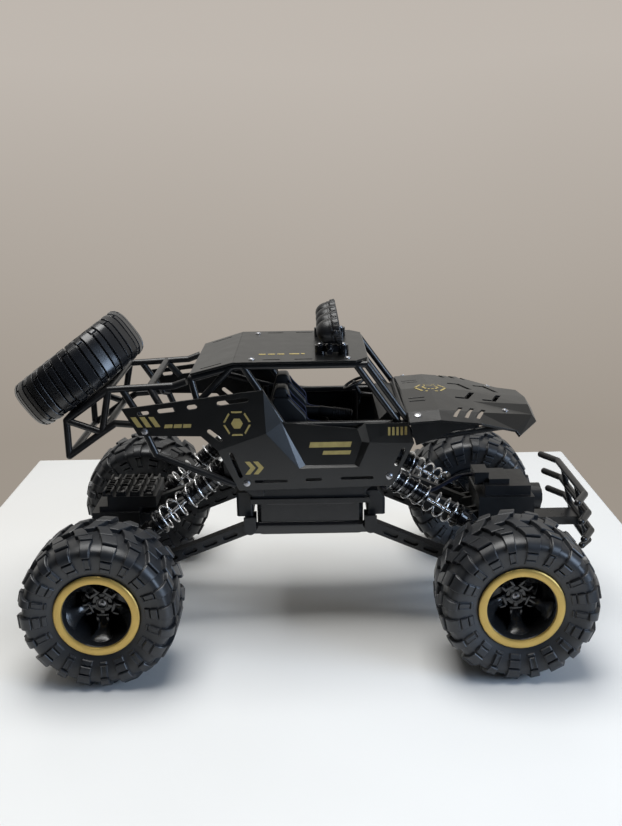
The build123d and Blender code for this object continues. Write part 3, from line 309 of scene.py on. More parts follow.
SPRING = surface("spring_wire", (0.84, 0.84, 0.85), 0.27, 1.0, spread=0.05, patch=200, grain=900, bump=0.004,
                 rough_spread=0.05)
GEAR = surface("gear_metal", (0.45, 0.45, 0.47), 0.32, 1.0, spread=0.1, patch=200, grain=1500, bump=0.01)
CAN = surface("motor_can", (0.55, 0.56, 0.58), 0.3, 1.0, spread=0.06, patch=90, grain=2000, bump=0.008,
              stretch=(1, 0.1, 1))
WRAP = surface("battery_wrap", (0.03, 0.09, 0.30), 0.3, spread=0.12, patch=60, grain=700, bump=0.02)
BOARD = surface("board_green", (0.02, 0.16, 0.06), 0.4, spread=0.15, patch=200, grain=1200, bump=0.02)
SLEEVE = surface("lead_sleeve", (0.012, 0.014, 0.028), 0.35, spread=0.15, patch=120, grain=1500, bump=0.02)
RIM_BLACK = surface("rim_black", (0.014, 0.0145, 0.0155), 0.2, spread=0.2, patch=50, grain=900, bump=0.006,
                    rough_spread=0.04, edge=(0.09, 0.09, 0.095), edge_radius=0.4, specular=0.7)
PIPING = surface("seat_piping", (0.03, 0.035, 0.075), 0.4, spread=0.15, patch=150, grain=1800, bump=0.02)
LENS = glass("lamp_lens", (0.93, 0.96, 1.0))


def floor_material():
    material, tree, shader = new_material("table_top")
    stops = [(0.35, (0.70, 0.705, 0.70)), (0.65, (0.745, 0.75, 0.748))]
    paint = ramp(tree, noise(tree, 3.0, 3), "Fac", stops)
    link(tree, paint, "Color", shader, "Base Color")
    gloss = map_range(tree, noise(tree, 60, 4), "Fac", (0, 1), (0.38, 0.48))
    link(tree, gloss, "Result", shader, "Roughness")
    return material


# ---------------------------------------------------------------- mesh building
class Shape:
    """Vertices in millimetres and faces, gathered from closed solids."""

    def __init__(self):
        self.verts = []
        self.faces = []

    def add(self, verts, faces, place=None):
        start = len(self.verts)
        if place is not None:
            verts = [place @ Vector(v) for v in verts]
        self.verts += [tuple(v) for v in verts]
        self.faces += [tuple(i + start for i in face) for face in faces]


def place_along(origin, axis, side=(0, 1, 0)):
    """Matrix whose Z axis points along axis and whose X axis is near side."""
    z = Vector(axis).normalized()
    x = Vector(side) - Vector(side).dot(z) * z
    x.normalize()
    y = z.cross(x)
    turn = Matrix((x, y, z)).transposed().to_4x4()
    return Matrix.Translation(origin) @ turn


def lathe(shape, outline, place, steps=96):
    """Closed ring turned about Z from a closed outline of (radius, height)."""
    verts = []
    for index in range(steps):
        angle = 2 * pi * index / steps
        verts += [(r * cos(angle), r * sin(angle), h) for r, h in outline]
    count = len(outline)
    faces = []
    for index in range(steps):
        following = (index + 1) % steps
        for k in range(count):
            n = (k + 1) % count
            faces.append((index * count + k, following * count + k,
                          following * count + n, index * count + n))
    shape.add(verts, faces, place)


def prism(shape, outline, low, high, place, bevel=0.0, segments=2):
    """Extruded outline (x, y) from z = low to z = high, with rounded edges."""
    bm = bmesh.new()
    bottom = [bm.verts.new((x, y, low)) for x, y in outline]
    face = bm.faces.new(bottom)
    extruded = bmesh.ops.extrude_face_region(bm, geom=[face])
    moved = [v for v in extruded["geom"] if isinstance(v, bmesh.types.BMVert)]
    bmesh.ops.translate(bm, verts=moved, vec=(0, 0, high - low))
    if bevel:
        bmesh.ops.bevel(bm, geom=bm.edges[:], offset=bevel, segments=segments, profile=0.5,
                        affect="EDGES", clamp_overlap=True)
    bm.verts.index_update()
    shape.add([v.co.copy() for v in bm.verts], [[v.index for v in f.verts] for f in bm.faces], place)
    bm.free()


def slab(shape, base, top):
    """Closed solid between two outlines with the same number of points."""
    count = len(base)
    faces = [tuple(range(count)), tuple(range(count, 2 * count))]
    faces += [(k, (k + 1) % count, (k + 1) % count + count, k + count) for k in range(count)]
    shape.add(base + top, faces)


def block(shape, low, high, bevel=0.4, place=None):
    """Box between two corners, with rounded edges."""
    outline = [(low[0], low[1]), (high[0], low[1]), (high[0], high[1]), (low[0], high[1])]
    prism(shape, outline, low[2], high[2], place or Matrix.Identity(4), bevel)


def smooth_path(points, per_span=8):
    """Points of a smooth curve through the given ones."""
    pts = [Vector(p) for p in points]
    pts = [pts[0] * 2 - pts[1]] + pts + [pts[-1] * 2 - pts[-2]]
    path = []
    for a, b, c, d in zip(pts, pts[1:], pts[2:], pts[3:]):
        for step in range(per_span):
            t = step / per_span
            path.append(0.5 * ((2 * b) + (c - a) * t + (2 * a - 5 * b + 4 * c - d) * t * t
                               + (3 * b - a - 3 * c + d) * t ** 3))
    path.append(pts[-2].copy())
    return path


def tube(shape, path, radius, sides=12):
    """Closed round tube along a path."""
    path = [Vector(p) for p in path]
    tangents = []
    for index in range(len(path)):
        before, after = path[max(0, index - 1)], path[min(len(path) - 1, index + 1)]
        tangents.append((after - before).normalized())
    side = tangents[0].orthogonal().normalized()
    verts, faces = [], []
    for point, tangent in zip(path, tangents):
        side = (side - side.dot(tangent) * tangent).normalized()
        other = tangent.cross(side)
        for k in range(sides):
            angle = 2 * pi * k / sides
            verts.append(point + radius * (cos(angle) * side + sin(angle) * other))
    for index in range(len(path) - 1):
        for k in range(sides):
            n = (k + 1) % sides
            faces.append((index * sides + k, index * sides + n,
                          (index + 1) * sides + n, (index + 1) * sides + k))
    faces.append(tuple(range(sides))[::-1])
    last = (len(path) - 1) * sides
    faces.append(tuple(last + k for k in range(sides)))
    shape.add(verts, faces)


def finish_piece(name, shape, material, body, replaces=(), crease=32):
    """Turns a shape into a Blender object that rides on a body."""
    mesh = bpy.data.meshes.new(name)
    mesh.from_pydata([(x * MM, y * MM, z * MM) for x, y, z in shape.verts], [], shape.faces)
    bm = bmesh.new()
    bm.from_mesh(mesh)
    bmesh.ops.remove_doubles(bm, verts=bm.verts[:], dist=1e-7)
    bmesh.ops.recalc_face_normals(bm, faces=bm.faces[:])
    bm.to_mesh(mesh)
    bm.free()
    mesh.shade_smooth()
    mesh.set_sharp_from_angle(angle=radians(crease))
    mesh.materials.append(material)
    piece = bpy.data.objects.new(name, mesh)
    bpy.context.scene.collection.objects.link(piece)
    if body:
        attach(piece, body)
    if replaces:
        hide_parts(*replaces)
    return piece


# ---------------------------------------------------------------- floor
# Table top, in X and Y; its front edge is near, so that upright faces see little of it
TABLE = ((-292, -345), (277, -345), (277, 344), (-292, 344))
table = Shape()
prism(table, TABLE, -30, 0, Matrix.Identity(4), 2.0)
table_mesh = bpy.data.meshes.new("floor")
table_mesh.from_pydata([(x * MM, y * MM, z * MM) for x, y, z in table.verts], [], table.faces)
floor = bpy.data.objects.new("floor", table_mesh)
floor.data.materials.append(floor_material())
bpy.context.scene.collection.objects.link(floor)


# ---------------------------------------------------------------- CAD pieces that stay as they are
CAD_MATERIALS = {
    "black_plastic": PLASTIC, "gloss_black": GLOSS, "painted_sheet": SHEET_BLACK, "tyre_rubber": RUBBER,
    "gold_ring": GOLD, "steel_screw": STEEL, "chrome_spring": CHROME, "chrome_shaft": CHROME,
    "lamp_lens": LENS, "gear_metal": GEAR, "motor_can": CAN, "battery_wrap": WRAP,
    "board_green": BOARD, "lead_sleeve": SLEEVE,
}
NODE_MATERIALS = {"roll_cage": TUBE_BLACK, "rear_rack": TUBE_BLACK, "front_bumper": TUBE_BLACK,
                  "battery_cover": BOX_PLASTIC}
for part in frame["record"]["subparts"]:
    node = frame["nodes"][part["node"]]
    material = NODE_MATERIALS.get(part["node"], CAD_MATERIALS[part["material_slot"]])
    node.data.materials.clear()
    node.data.materials.append(material)


# ---------------------------------------------------------------- wheels
class Profile:
    """Outer line of a tyre from its middle to its bead, by distance along the line."""

    def __init__(self, points):
        path = smooth_path([(r, y, 0) for r, y in points], 10)
        self.r = np.array([p.x for p in path])
        self.y = np.array([p.y for p in path])
        steps = np.hypot(np.diff(self.r), np.diff(self.y))
        self.s = np.concatenate([[0], np.cumsum(steps)])

    def at(self, s, height=0.0):
        """Radius and offset at a distance along the line, raised by height along its normal."""
        sign = 1 if s >= 0 else -1
        s = min(abs(s), self.s[-1])
        r, y = np.interp(s, self.s, self.r), np.interp(s, self.s, self.y)
        before, after = max(0, s - 0.4), min(self.s[-1], s + 0.4)
        dr = np.interp(after, self.s, self.r) - np.interp(before, self.s, self.r)
        dy = np.interp(after, self.s, self.y) - np.interp(before, self.s, self.y)
        size = hypot(dr, dy)
        return r + height * dy / size, sign * (y - height * dr / size)


def lug(shape, profile, rows, height, place, inset=0.55, sink=0.6):
    """Closed tread block over rows of (distance, left angle, right angle), with chamfered edges."""
    verts = []
    last = len(rows) - 1
    slope = 1 if rows[-1][0] > rows[0][0] else -1
    # Levels of the block's sides: height, and how far each is drawn in
    ring = ((-sink, 0.0), (height - 0.4, 0.12), (height, inset))
    for index, (s, left, right) in enumerate(rows):
        inward = 0 if 0 < index < last else (1 if index == 0 else -1)
        levels = []
        for raise_by, trim in ring:
            r, y = profile.at(s + inward * slope * trim, raise_by)
            levels.append((r, y, trim / r))
        for r, y, turn in levels:
            angle = radians(left) + turn
            verts.append((r * cos(angle), r * sin(angle), y))
        for r, y, turn in reversed(levels):
            angle = radians(right) - turn
            verts.append((r * cos(angle), r * sin(angle), y))
    faces = []
    for index in range(last):
        for k in range(6):
            n = (k + 1) % 6
            faces.append((index * 6 + k, index * 6 + n, index * 6 + 6 + n, index * 6 + 6 + k))
    for base in (0, last * 6):
        faces += [(base, base + 1, base + 4, base + 5), (base + 1, base + 2, base + 3, base + 4)]
    shape.add(verts, faces, place)


def band(start, end, steps, centre, half, skew=0.0, taper=0.0):
    """Rows of a lug: its centre angle moves by skew and its half-angle by taper along the way."""
    rows = []
    for index in range(steps + 1):
        t = index / steps
        middle = centre + skew * t
        reach = half + taper * t
        rows.append((start + (end - start) * t, middle - reach, middle + reach))
    return rows


TYRE_LINE = ((46.9, 0), (46.9, 8), (46.6, 15), (45.8, 20), (43.8, 23.6), (40.6, 24.7), (36, 24.0),
             (31, 22.4), (26.9, 20.9), (24.1, 19.5))
TYRE = Profile(TYRE_LINE)
PITCHES = 10
PITCH_ANGLE = 360 / PITCHES
# Blocks of a side lug, from the bead outwards: start, end and steps along the tyre's line, half-angle,
# skew, taper and height
WIDE_LUG = ((38.4, 34.9, 2, 6.3, 0, -0.6, 1.2), (34.3, 29.6, 3, 5.7, 0, -0.3, 1.75),
            (29.0, 20.6, 5, 5.3, 0, 0.5, 1.9), (20.0, 11.2, 4, 5.6, 3.5, 0.3, 3.0))
NARROW_LUG = ((38.0, 36.2, 1, 4.1, 0, -0.1, 1.0), (35.6, 28.6, 4, 4.0, 0, -0.5, 1.3),
              (28.0, 17.4, 6, 3.6, 0, 0.8, 2.2), (16.8, 11.6, 3, 4.6, 2.0, 1.0, 3.0))


def on_side(rows, side):
    """The same rows on one side of a tyre's middle."""
    return [(side * s, left, right) for s, left, right in rows]


def tyre_shape(place):
    """Rock tyre: smooth carcass, wide and narrow side lugs, and a chevron tread."""
    shape = Shape()
    outer = list(zip(TYRE.r[::3], TYRE.y[::3]))
    outline = outer + [(24.0, 19.0), (24.0, -19.0)] + [(r, -y) for r, y in reversed(outer[1:])]
    lathe(shape, outline, place, 120)
    for side in (1, -1):
        for pitch in range(PITCHES):
            turn = PITCH_ANGLE * pitch + (0 if side > 0 else 9)
            between = turn + PITCH_ANGLE / 2
            for centre, blocks in ((turn, WIDE_LUG), (between, NARROW_LUG)):
                for start, end, steps, half, skew, taper, height in blocks:
                    rows = band(start, end, steps, centre, half, skew, taper)
                    lug(shape, TYRE, on_side(rows, side), height, place)
            # Rails around the narrow lug's recess
            for offset in (-2.9, 2.9):
                rail = band(35.4, 28.8, 4, between + offset * 0.93, 0.85, -offset * 0.12)
                lug(shape, TYRE, on_side(rail, side), 1.85, place, inset=0.2)
        for index in range(2 * PITCHES):
            turn = PITCH_ANGLE / 2 * index + (5 if side > 0 else 14)
            chevron = band(10.6, 5.6, 2, turn, 5.0, 1.8, -0.6)
            chevron += band(5.6, -1.2, 3, turn + 1.8, 4.4, 4.2, -0.6)[1:]
            lug(shape, TYRE, on_side(chevron, side), 3.0, place)
    return shape


# Rim's barrel and back wall, and its hub, as radius and height
RIM_LINE = [(23.9, 20.6), (23.6, 20.8), (21.2, 20.8), (20.9, 20.4), (20.6, 17), (20.3, 12.5), (19.4, 9),
            (19.0, 0), (18.2, -6), (16.6, -9.6), (3, -9.6), (3, -11), (17.6, -11), (20.8, -14),
            (20.8, -20.4), (21.2, -20.8), (23.6, -20.8), (23.9, -20.6)]
HUB_LINE = [(0.01, -3), (6.6, -3), (6.7, 3.0), (6.1, 3.6), (4.0, 3.8), (3.8, 5.2), (3.5, 5.5),
            (2.9, 5.5), (2.6, 5.2), (2.5, 4.0), (0.01, 4.0)]
SPOKES = 5
# Spoke stations: radius, width, height of its face and depth
STATIONS = ((3.6, 6.0, 3.3, 4.4), (7.4, 6.4, 3.6, 4.6), (10.0, 6.6, 4.6, 4.8), (12.6, 6.7, 6.2, 5.0),
            (15.0, 7.4, 8.8, 5.4), (17.0, 9.6, 11.6, 6.4), (18.8, 12.8, 14.2, 8.0), (20.6, 17.0, 16.0, 9.0))
# Crowned face of a spoke: places across its half-width, and how far each lies under the ridge
ACROSS = (-1.0, -0.86, -0.5, 0.0, 0.5, 0.86, 1.0)
CROWN = (-1.0, -0.42, -0.08, 0.0, -0.08, -0.42, -1.0)
CROWN_HEIGHT = 2.0


def add_spoke(shape, place):
    verts, faces = [], []
    for r, width, top, deep in STATIONS:
        for u, lift in zip(ACROSS, CROWN):
            bow = 0.12 * (width / 2 * u) ** 2 / r
            verts.append((r - bow, width / 2 * u, top + lift * CROWN_HEIGHT))
        verts.append((r, width / 2 * 0.8, top - deep))
        verts.append((r, -width / 2 * 0.8, top - deep))
    count = len(ACROSS) + 2
    last = len(STATIONS) - 1
    for row in range(last):
        for k in range(count):
            n = (k + 1) % count
            faces.append((row * count + k, row * count + n,
                          (row + 1) * count + n, (row + 1) * count + k))
    for base in (0, last * count):
        faces.append(tuple(base + k for k in range(count)))
    shape.add(verts, faces, place)


def add_claw(shape, place):
    """Claw on a spoke's root: a bar, two prongs and a short stem."""
    block(shape, (6.6, -4.0, 3.0), (8.6, 4.0, 5.4), 0.4, place)
    for low, high in ((-4.0, -2.3), (2.3, 4.0)):
        block(shape, (8.0, low, 3.2), (12.0, high, 6.4), 0.4, place)
    block(shape, (3.4, -1.3, 3.2), (7.2, 1.3, 5.0), 0.3, place)


def rim_shape(place):
    """Deep dish rim: lipped barrel, dark back wall, and five spokes that rise from a clawed hub."""
    shape = Shape()
    lathe(shape, RIM_LINE, place, 96)
    for index in range(SPOKES):
        turn = place @ Matrix.Rotation(radians(-90 + 360 / SPOKES * index), 4, "Z")
        add_spoke(shape, turn)
        add_claw(shape, turn)
    lathe(shape, HUB_LINE, place, 48)
    lathe(shape, [(0.01, -14), (6, -14), (6, -5), (0.01, -5)], place, 48)
    return shape


def screw_shape(shape, place, head=2.2, height=0.55, washer=0.4):
    """Round-headed screw with a cross in its recess; its washer lies on z = 0."""
    recess = washer + height * 0.45
    lathe(shape, [(0.01, -0.2), (head, -0.2), (head, washer * 0.7), (head - 0.25, washer),
                  (head * 0.74, washer), (head * 0.74, recess), (head * 0.6, washer + height * 0.82),
                  (head * 0.36, washer + height), (head * 0.34, recess), (0.01, recess)], place, 32)
    for angle in (20, 110):
        turn = place @ Matrix.Rotation(radians(angle), 4, "Z")
        block(shape, (-head * 0.36, -head * 0.07, washer + height * 0.3),
              (head * 0.36, head * 0.07, washer + height * 0.68), 0.04, turn)


def wheel_place(end, sign):
    """Matrix of a wheel's middle, with its outboard side along Z."""
    return place_along((AXLE_X[end], sign * HALF_TRACK, WHEEL_Z), (0, sign, 0), (1, 0, 0))


# Outline of a bead ring, as radius and height
RING = [(21.4, 20.9), (26.2, 20.9), (26.5, 21.2), (26.5, 21.9), (26.1, 22.4), (25.6, 22.6),
        (22.2, 22.6), (21.7, 22.4), (21.4, 21.9)]
# How far each tyre is turned on its axle at rest, in degrees
WHEEL_TURNS = {("rear", "right"): 4, ("rear", "left"): 21, ("front", "right"): 12, ("front", "left"): 30}
for end in AXLE_X:
    for side, sign in SIDES.items():
        body = "rear_wheels" if end == "rear" else f"front_{side}_wheel"
        place = wheel_place(end, sign)
        spun = place @ Matrix.Rotation(radians(WHEEL_TURNS[end, side]), 4, "Z")
        label = f"{end}_{side}"
        finish_piece(f"{label}_tread_tyre", tyre_shape(spun), RUBBER, body,
                     [f"{label}_tyre"])
        finish_piece(f"{label}_spoked_rim", rim_shape(place), RIM_BLACK, body,
                     [f"{label}_rim"])
        ring = Shape()
        lathe(ring, RING, place, 128)
        ring_node = "rear_bead_rings" if end == "rear" else f"{label}_bead_ring"
        finish_piece(f"{label}_gold_ring", ring, GOLD, body, [ring_node])
        bolt = Shape()
        screw_shape(bolt, place @ Matrix.Translation((0, 0, 4.0)), 2.2, 1.2, 0.4)
        screw_node = "rear_wheel_screws" if end == "rear" else f"{label}_wheel_screw"
        finish_piece(f"{label}_hub_screw", bolt, STEEL, body, [screw_node])


# ---------------------------------------------------------------- shocks and springs
# Upper and lower eye of each end's shocks, in X and Z, and how far out they stand
SHOCKS = {
    "rear": ((-48.0, 122.0), (-106.0, 73.0), 39.0),
    "front": ((48.0, 114.0), (112.0, 73.0), 34.0),
}
SPRING_TURNS = 7.2
COIL_RADIUS = 7.85
WIRE_RADIUS = 0.66
STEPS_PER_TURN = 28
DAMPER_RADIUS = 6.9
DAMPER_RIBS = 8


def spring_path(place, length, hand):
    """Helix between a shock's two collars, a little closer and narrower at its ends."""
    first, last = 11.5, length - 11.2
    steps = int(SPRING_TURNS * STEPS_PER_TURN)
    path = []
    for index in range(steps + 1):
        t = index / steps
        open_part = min(1, t * SPRING_TURNS, (1 - t) * SPRING_TURNS)
        radius = COIL_RADIUS - 0.15 * (1 - open_part)
        angle = 2 * pi * SPRING_TURNS * t * hand
        height = first + (last - first) * (t - 0.035 * sin(2 * pi * t))
        path.append(place @ Vector((radius * cos(angle), radius * sin(angle), height)))
    return path


def add_damper(shape, place, upper_eye):
    """Ribbed damper body under its collar, and its upper eye."""
    ribs = [(0.01, 8.4), (DAMPER_RADIUS, 8.4)]
    for index in range(DAMPER_RIBS):
        low = 11.2 + index * 3.4
        ribs += [(DAMPER_RADIUS, low), (DAMPER_RADIUS, low + 2.1), (6.2, low + 2.4), (6.2, low + 3.1)]
    ribs += [(DAMPER_RADIUS, 38.6), (DAMPER_RADIUS, 40), (6.4, 40.4), (2.4, 40.4), (2.4, 37), (0.01, 37)]
    lathe(shape, ribs, place, 48)
    lathe(shape, [(0.01, 2), (4.3, 2), (4.6, 3), (4.6, 7.4), (8.3, 8.0), (8.6, 8.6), (8.6, 10.2),
                  (8.2, 10.6), (0.01, 10.6)], place, 48)
    lathe(shape, [(1.6, 0), (4.2, 0), (4.6, 0.4), (4.6, 16.6), (4.2, 17), (1.6, 17)], upper_eye, 36)


def add_rod(shape, place, length):
    """Shaft with a polished groove along it, which reads as two bright lines, and its piston."""
    for offset in (-1.15, 1.15):
        tube(shape, [place @ Vector((offset, 0, z)) for z in (30, length - 14)], 1.02, 14)
    lathe(shape, [(0.01, 24), (4.4, 24), (4.4, 28), (0.01, 28)], place, 32)


def add_spring_seat(shape, place, length, lower_eye):
    """Lower collar with its neck, and the lower eye."""
    lathe(shape, [(0.01, length - 14), (5.0, length - 14), (5.4, length - 13.4), (5.4, length - 10.6),
                  (8.2, length - 10.4), (8.6, length - 10), (8.6, length - 9), (8.2, length - 8.6),
                  (6.2, length - 8), (5.8, length - 4), (4.6, length - 3), (0.01, length - 3)], place, 48)
    lathe(shape, [(2.8, 0), (4.4, 0), (4.8, 0.4), (4.8, 11.6), (4.4, 12), (2.8, 12)], lower_eye, 36)


for end, ((top_x, top_z), (low_x, low_z), shock_y) in SHOCKS.items():
    run = Vector((low_x - top_x, 0, low_z - top_z))
    length = run.length
    coils, bodies, rods, seats = Shape(), Shape(), Shape(), Shape()
    for sign in SIDES.values():
        place = place_along((top_x, sign * shock_y, top_z), run)
        tube(coils, spring_path(place, length, sign), WIRE_RADIUS, 10)
        add_damper(bodies, place, place_along((top_x, sign * shock_y - 8.5, top_z), (0, 1, 0), (1, 0, 0)))
        add_rod(rods, place, length)
        lower_eye = place_along((low_x, sign * shock_y - 6, low_z), (0, 1, 0), (1, 0, 0))
        add_spring_seat(seats, place, length, lower_eye)
    shock_body, shaft = f"{end}_shock_bodies", f"{end}_shock_shafts"
    coil = finish_piece(f"{end}_spring_coils", coils, SPRING, None, [f"{end}_springs"], 60)
    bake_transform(coil)
    finish_piece(f"{end}_damper_bodies", bodies, GLOSS, shock_body, [shock_body])
    finish_piece(f"{end}_damper_rods", rods, CHROME, shaft, [shaft])
    finish_piece(f"{end}_spring_seats", seats, GLOSS, shaft)


# ---------------------------------------------------------------- spare wheel
SPARE_TILT = radians(36.0)
SPARE = place_along((-154.2, 0, 179.2), (-sin(SPARE_TILT), 0, cos(SPARE_TILT)),
                    (cos(SPARE_TILT), 0, sin(SPARE_TILT)))
SPARE_LINE = Profile(((44.6, 0), (44.4, 7), (43.4, 12), (41.2, 14.8), (37.6, 16.0), (32, 16.2),
                      (26, 16.0), (22.5, 13.6)))
SPARE_LUGS = 22
spare = Shape()
outer = list(zip(SPARE_LINE.r[::3], SPARE_LINE.y[::3]))
inner = [(21.2, 13), (21.2, -13)]
lathe(spare, outer + inner + [(r, -y) for r, y in reversed(outer[1:])], SPARE, 120)
for index in range(SPARE_LUGS):
    centre = 360 / SPARE_LUGS * index
    # A wide and a narrow bar across the whole tread, and blocks down the sides
    for offset, half, low, high in ((-2.9, 4.3, -17.4, 17.4), (5.1, 2.7, -12.6, 12.6)):
        lug(spare, SPARE_LINE, band(low, high, 14, centre + offset - 1.6, half, 3.2), 1.9, SPARE, 0.4)
    for side in (-1, 1):
        shoulder = band(13.2, 17.8, 3, centre + 5.1 + 1.6 * side, 2.9)
        lug(spare, SPARE_LINE, on_side(shoulder, side), 1.4, SPARE, 0.4)
        wall = band(18.6, 29.6, 5, centre + 2.0 * side, 5.3, 0, 1.0)
        lug(spare, SPARE_LINE, on_side(wall, side), 0.9, SPARE, 0.3)
finish_piece("spare_tread_tyre", spare, SPARE_RUBBER, "chassis", ["spare_tyre"])
STUDS = 5
STUD_CIRCLE = 11.5
studs = Shape()
for index in range(STUDS):
    angle = radians(360 / STUDS * index + 24)
    stud = Matrix.Translation((STUD_CIRCLE * cos(angle), STUD_CIRCLE * sin(angle), 6.0))
    screw_shape(studs, SPARE @ stud, 1.5, 0.6, 0.4)
finish_piece("spare_studs", studs, STEEL, "chassis")


# ---------------------------------------------------------------- light bar
LAMP_TILT = radians(11.0)
LAMP_AXIS = (cos(LAMP_TILT), 0, sin(LAMP_TILT))
LAMP_RIBS = 16
# Outlines of a lamp's dome, glass and reflector, as radius and height over its rim
DOME_LINE = [(0.01, -15.5), (2.4, -15.3), (4.4, -14.5), (6.0, -13.1), (7.2, -11.2), (7.8, -9.4),
             (8.1, -7.6), (8.2, -6.2), (8.55, -5.9), (8.6, -5.1), (8.3, -4.8), (8.7, -4.0), (8.9, -3.7),
             (8.9, -0.4), (8.6, 0), (8.1, 0), (8.1, -2.4), (7.5, -2.6), (0.01, -10.2)]
GLASS_LINE = [(0.01, -1.0), (4.4, -1.15), (7.9, -1.9), (7.9, -2.2), (4.4, -1.7), (0.01, -1.6)]
REFLECTOR_LINE = [(0.01, -9.3), (2.6, -8.9), (5.5, -6.0), (7.3, -2.7), (7.0, -2.7), (5.2, -6.3),
                  (2.4, -9.4), (0.01, -9.8)]
BULB_LINE = [(0.01, -9.1), (1.3, -9.0), (1.5, -7.4), (1.0, -6.3), (0.01, -6.0)]
housings, lenses, reflectors = Shape(), Shape(), Shape()
for lamp_y in (-34.5, -11.5, 11.5, 34.5):
    place = place_along((25.0, lamp_y, 209.4), LAMP_AXIS)
    lathe(housings, DOME_LINE, place, 72)
    for index in range(LAMP_RIBS):
        turn = place @ Matrix.Rotation(2 * pi / LAMP_RIBS * index, 4, "Z")
        block(housings, (8.5, -0.95, -3.6), (9.3, 0.95, -0.3), 0.3, turn)
    # Hinge knuckle on the dome
    block(housings, (-9.6, -1.6, -4.6), (-7.8, 1.6, -2.4), 0.4, place)
    lathe(lenses, GLASS_LINE, place, 48)
    lathe(reflectors, REFLECTOR_LINE, place, 48)
    lathe(reflectors, BULB_LINE, place, 24)
finish_piece("lamp_domes", housings, LAMP_BLACK, "chassis", ["lamp_housings"])
finish_piece("lamp_glasses", lenses, LENS, "chassis", ["lamp_lenses"])
finish_piece("lamp_reflectors", reflectors, CHROME, "chassis")


# ---------------------------------------------------------------- screws of the shell
def sill_y(x, z):
    """Half-width of the body at the sill, as in the CAD model."""
    crease = 135 + (x + 55.5) * 11 / 31.5
    return QUARTER_Y - 0.08 * (crease - z)


heads = Shape()


def shell_screw(spot, axis, *size):
    """Screw head at a spot of the shell, facing along an axis."""
    screw_shape(heads, place_along(spot, axis, (1, 0, 0)), *size)


for sign in SIDES.values():
    for x, z in ((-37.5, 111.8), (56, 114.2)):
        shell_screw((x, sign * (sill_y(x, z) + SHEET / 2 + 0.3), z), (0, sign, 0))
    shell_screw((-102, sign * (QUARTER_Y + SHEET / 2), 149), (0, sign, 0))
    shell_screw((74, sign * 54, 156.1), (-0.1, sign * 0.35, 1))
    shell_screw((134.5, sign * 33, 152.3), (0.22, sign * 0.04, 1))
    for x in (-32.4, 29.4):
        shell_screw((x, sign * 44, 192.4), (0, 0, 1))
    for x in (12, 27):
        shell_screw((x, sign * 31, 198.9), (0, 0, 1), 2.0, 0.6, 0.3)
finish_piece("shell_screws", heads, STEEL, "chassis", ["panel_screws"])


# ---------------------------------------------------------------- printed marks, all plain shapes
PRINT = 0.14
DOOR_Y = 51.7
# Middle of the ringed hexagon on the rear quarters, in X and Z, and on the hood, in X and Y
QUARTER_DEVICE = (-42.4, 153.2)
HOOD_DEVICE = (88.5, 1)
marks = Shape()


def side_mark(outline, level, sign):
    """Flat mark with its outline in X and Z, standing proud of a side face."""
    place = place_along((0, sign * level, 0), (0, sign, 0), (1, 0, 0))
    flipped = [(x, z * (-sign)) for x, z in outline]
    prism(marks, flipped, -0.1, PRINT, place)


def sill_mark(outline, sign):
    """Flat mark that follows the leaning sill."""
    levels = []
    for rise in (-0.1, PRINT):
        levels.append([(x, sign * (sill_y(x, z) + SHEET / 2 + rise), z) for x, z in outline])
    slab(marks, *levels)


def corner_mark(outline, sign):
    """Flat mark on the front corner, whose face leans a little."""
    levels = []
    for rise in (-0.5, 0.25):
        levels.append([(x, sign * (54.0 + 0.02 * (151 - z) + rise), z) for x, z in outline])
    slab(marks, *levels)


hood = frame["nodes"]["hood_panel"]
hood_tree = BVHTree.FromObject(hood, bpy.context.evaluated_depsgraph_get())
hood_inverse = hood.matrix_world.inverted()


def hood_mark(outline):
    """Flat mark that follows the folded hood under it."""
    base, top = [], []
    for x, y in outline:
        start = hood_inverse @ Vector((x * MM, y * MM, 0.2))
        hit = hood_tree.ray_cast(start, hood_inverse.to_3x3() @ Vector((0, 0, -1)))[0]
        z = (hood.matrix_world @ hit).z / MM
        base.append((x, y, z - 0.3))
        top.append((x, y, z + PRINT))
    slab(marks, base, top)


def hexagon(x, y, radius):
    """Corners of a hexagon with two of them level with its middle."""
    return [(x + radius * cos(radians(60 * k)), y + radius * sin(radians(60 * k))) for k in range(6)]


def ring_bars(x, y, outer_radius, inner_radius):
    """Six bars round a hexagon, each with a gap at both ends."""
    outer, inner = hexagon(x, y, outer_radius), hexagon(x, y, inner_radius)
    bars = []
    for k in range(6):
        n = (k + 1) % 6
        bar = []
        for ring, t in ((outer, 0.12), (outer, 0.88), (inner, 0.88), (inner, 0.12)):
            (x0, y0), (x1, y1) = ring[k], ring[n]
            bar.append((x0 + (x1 - x0) * t, y0 + (y1 - y0) * t))
        bars.append(bar)
    return bars


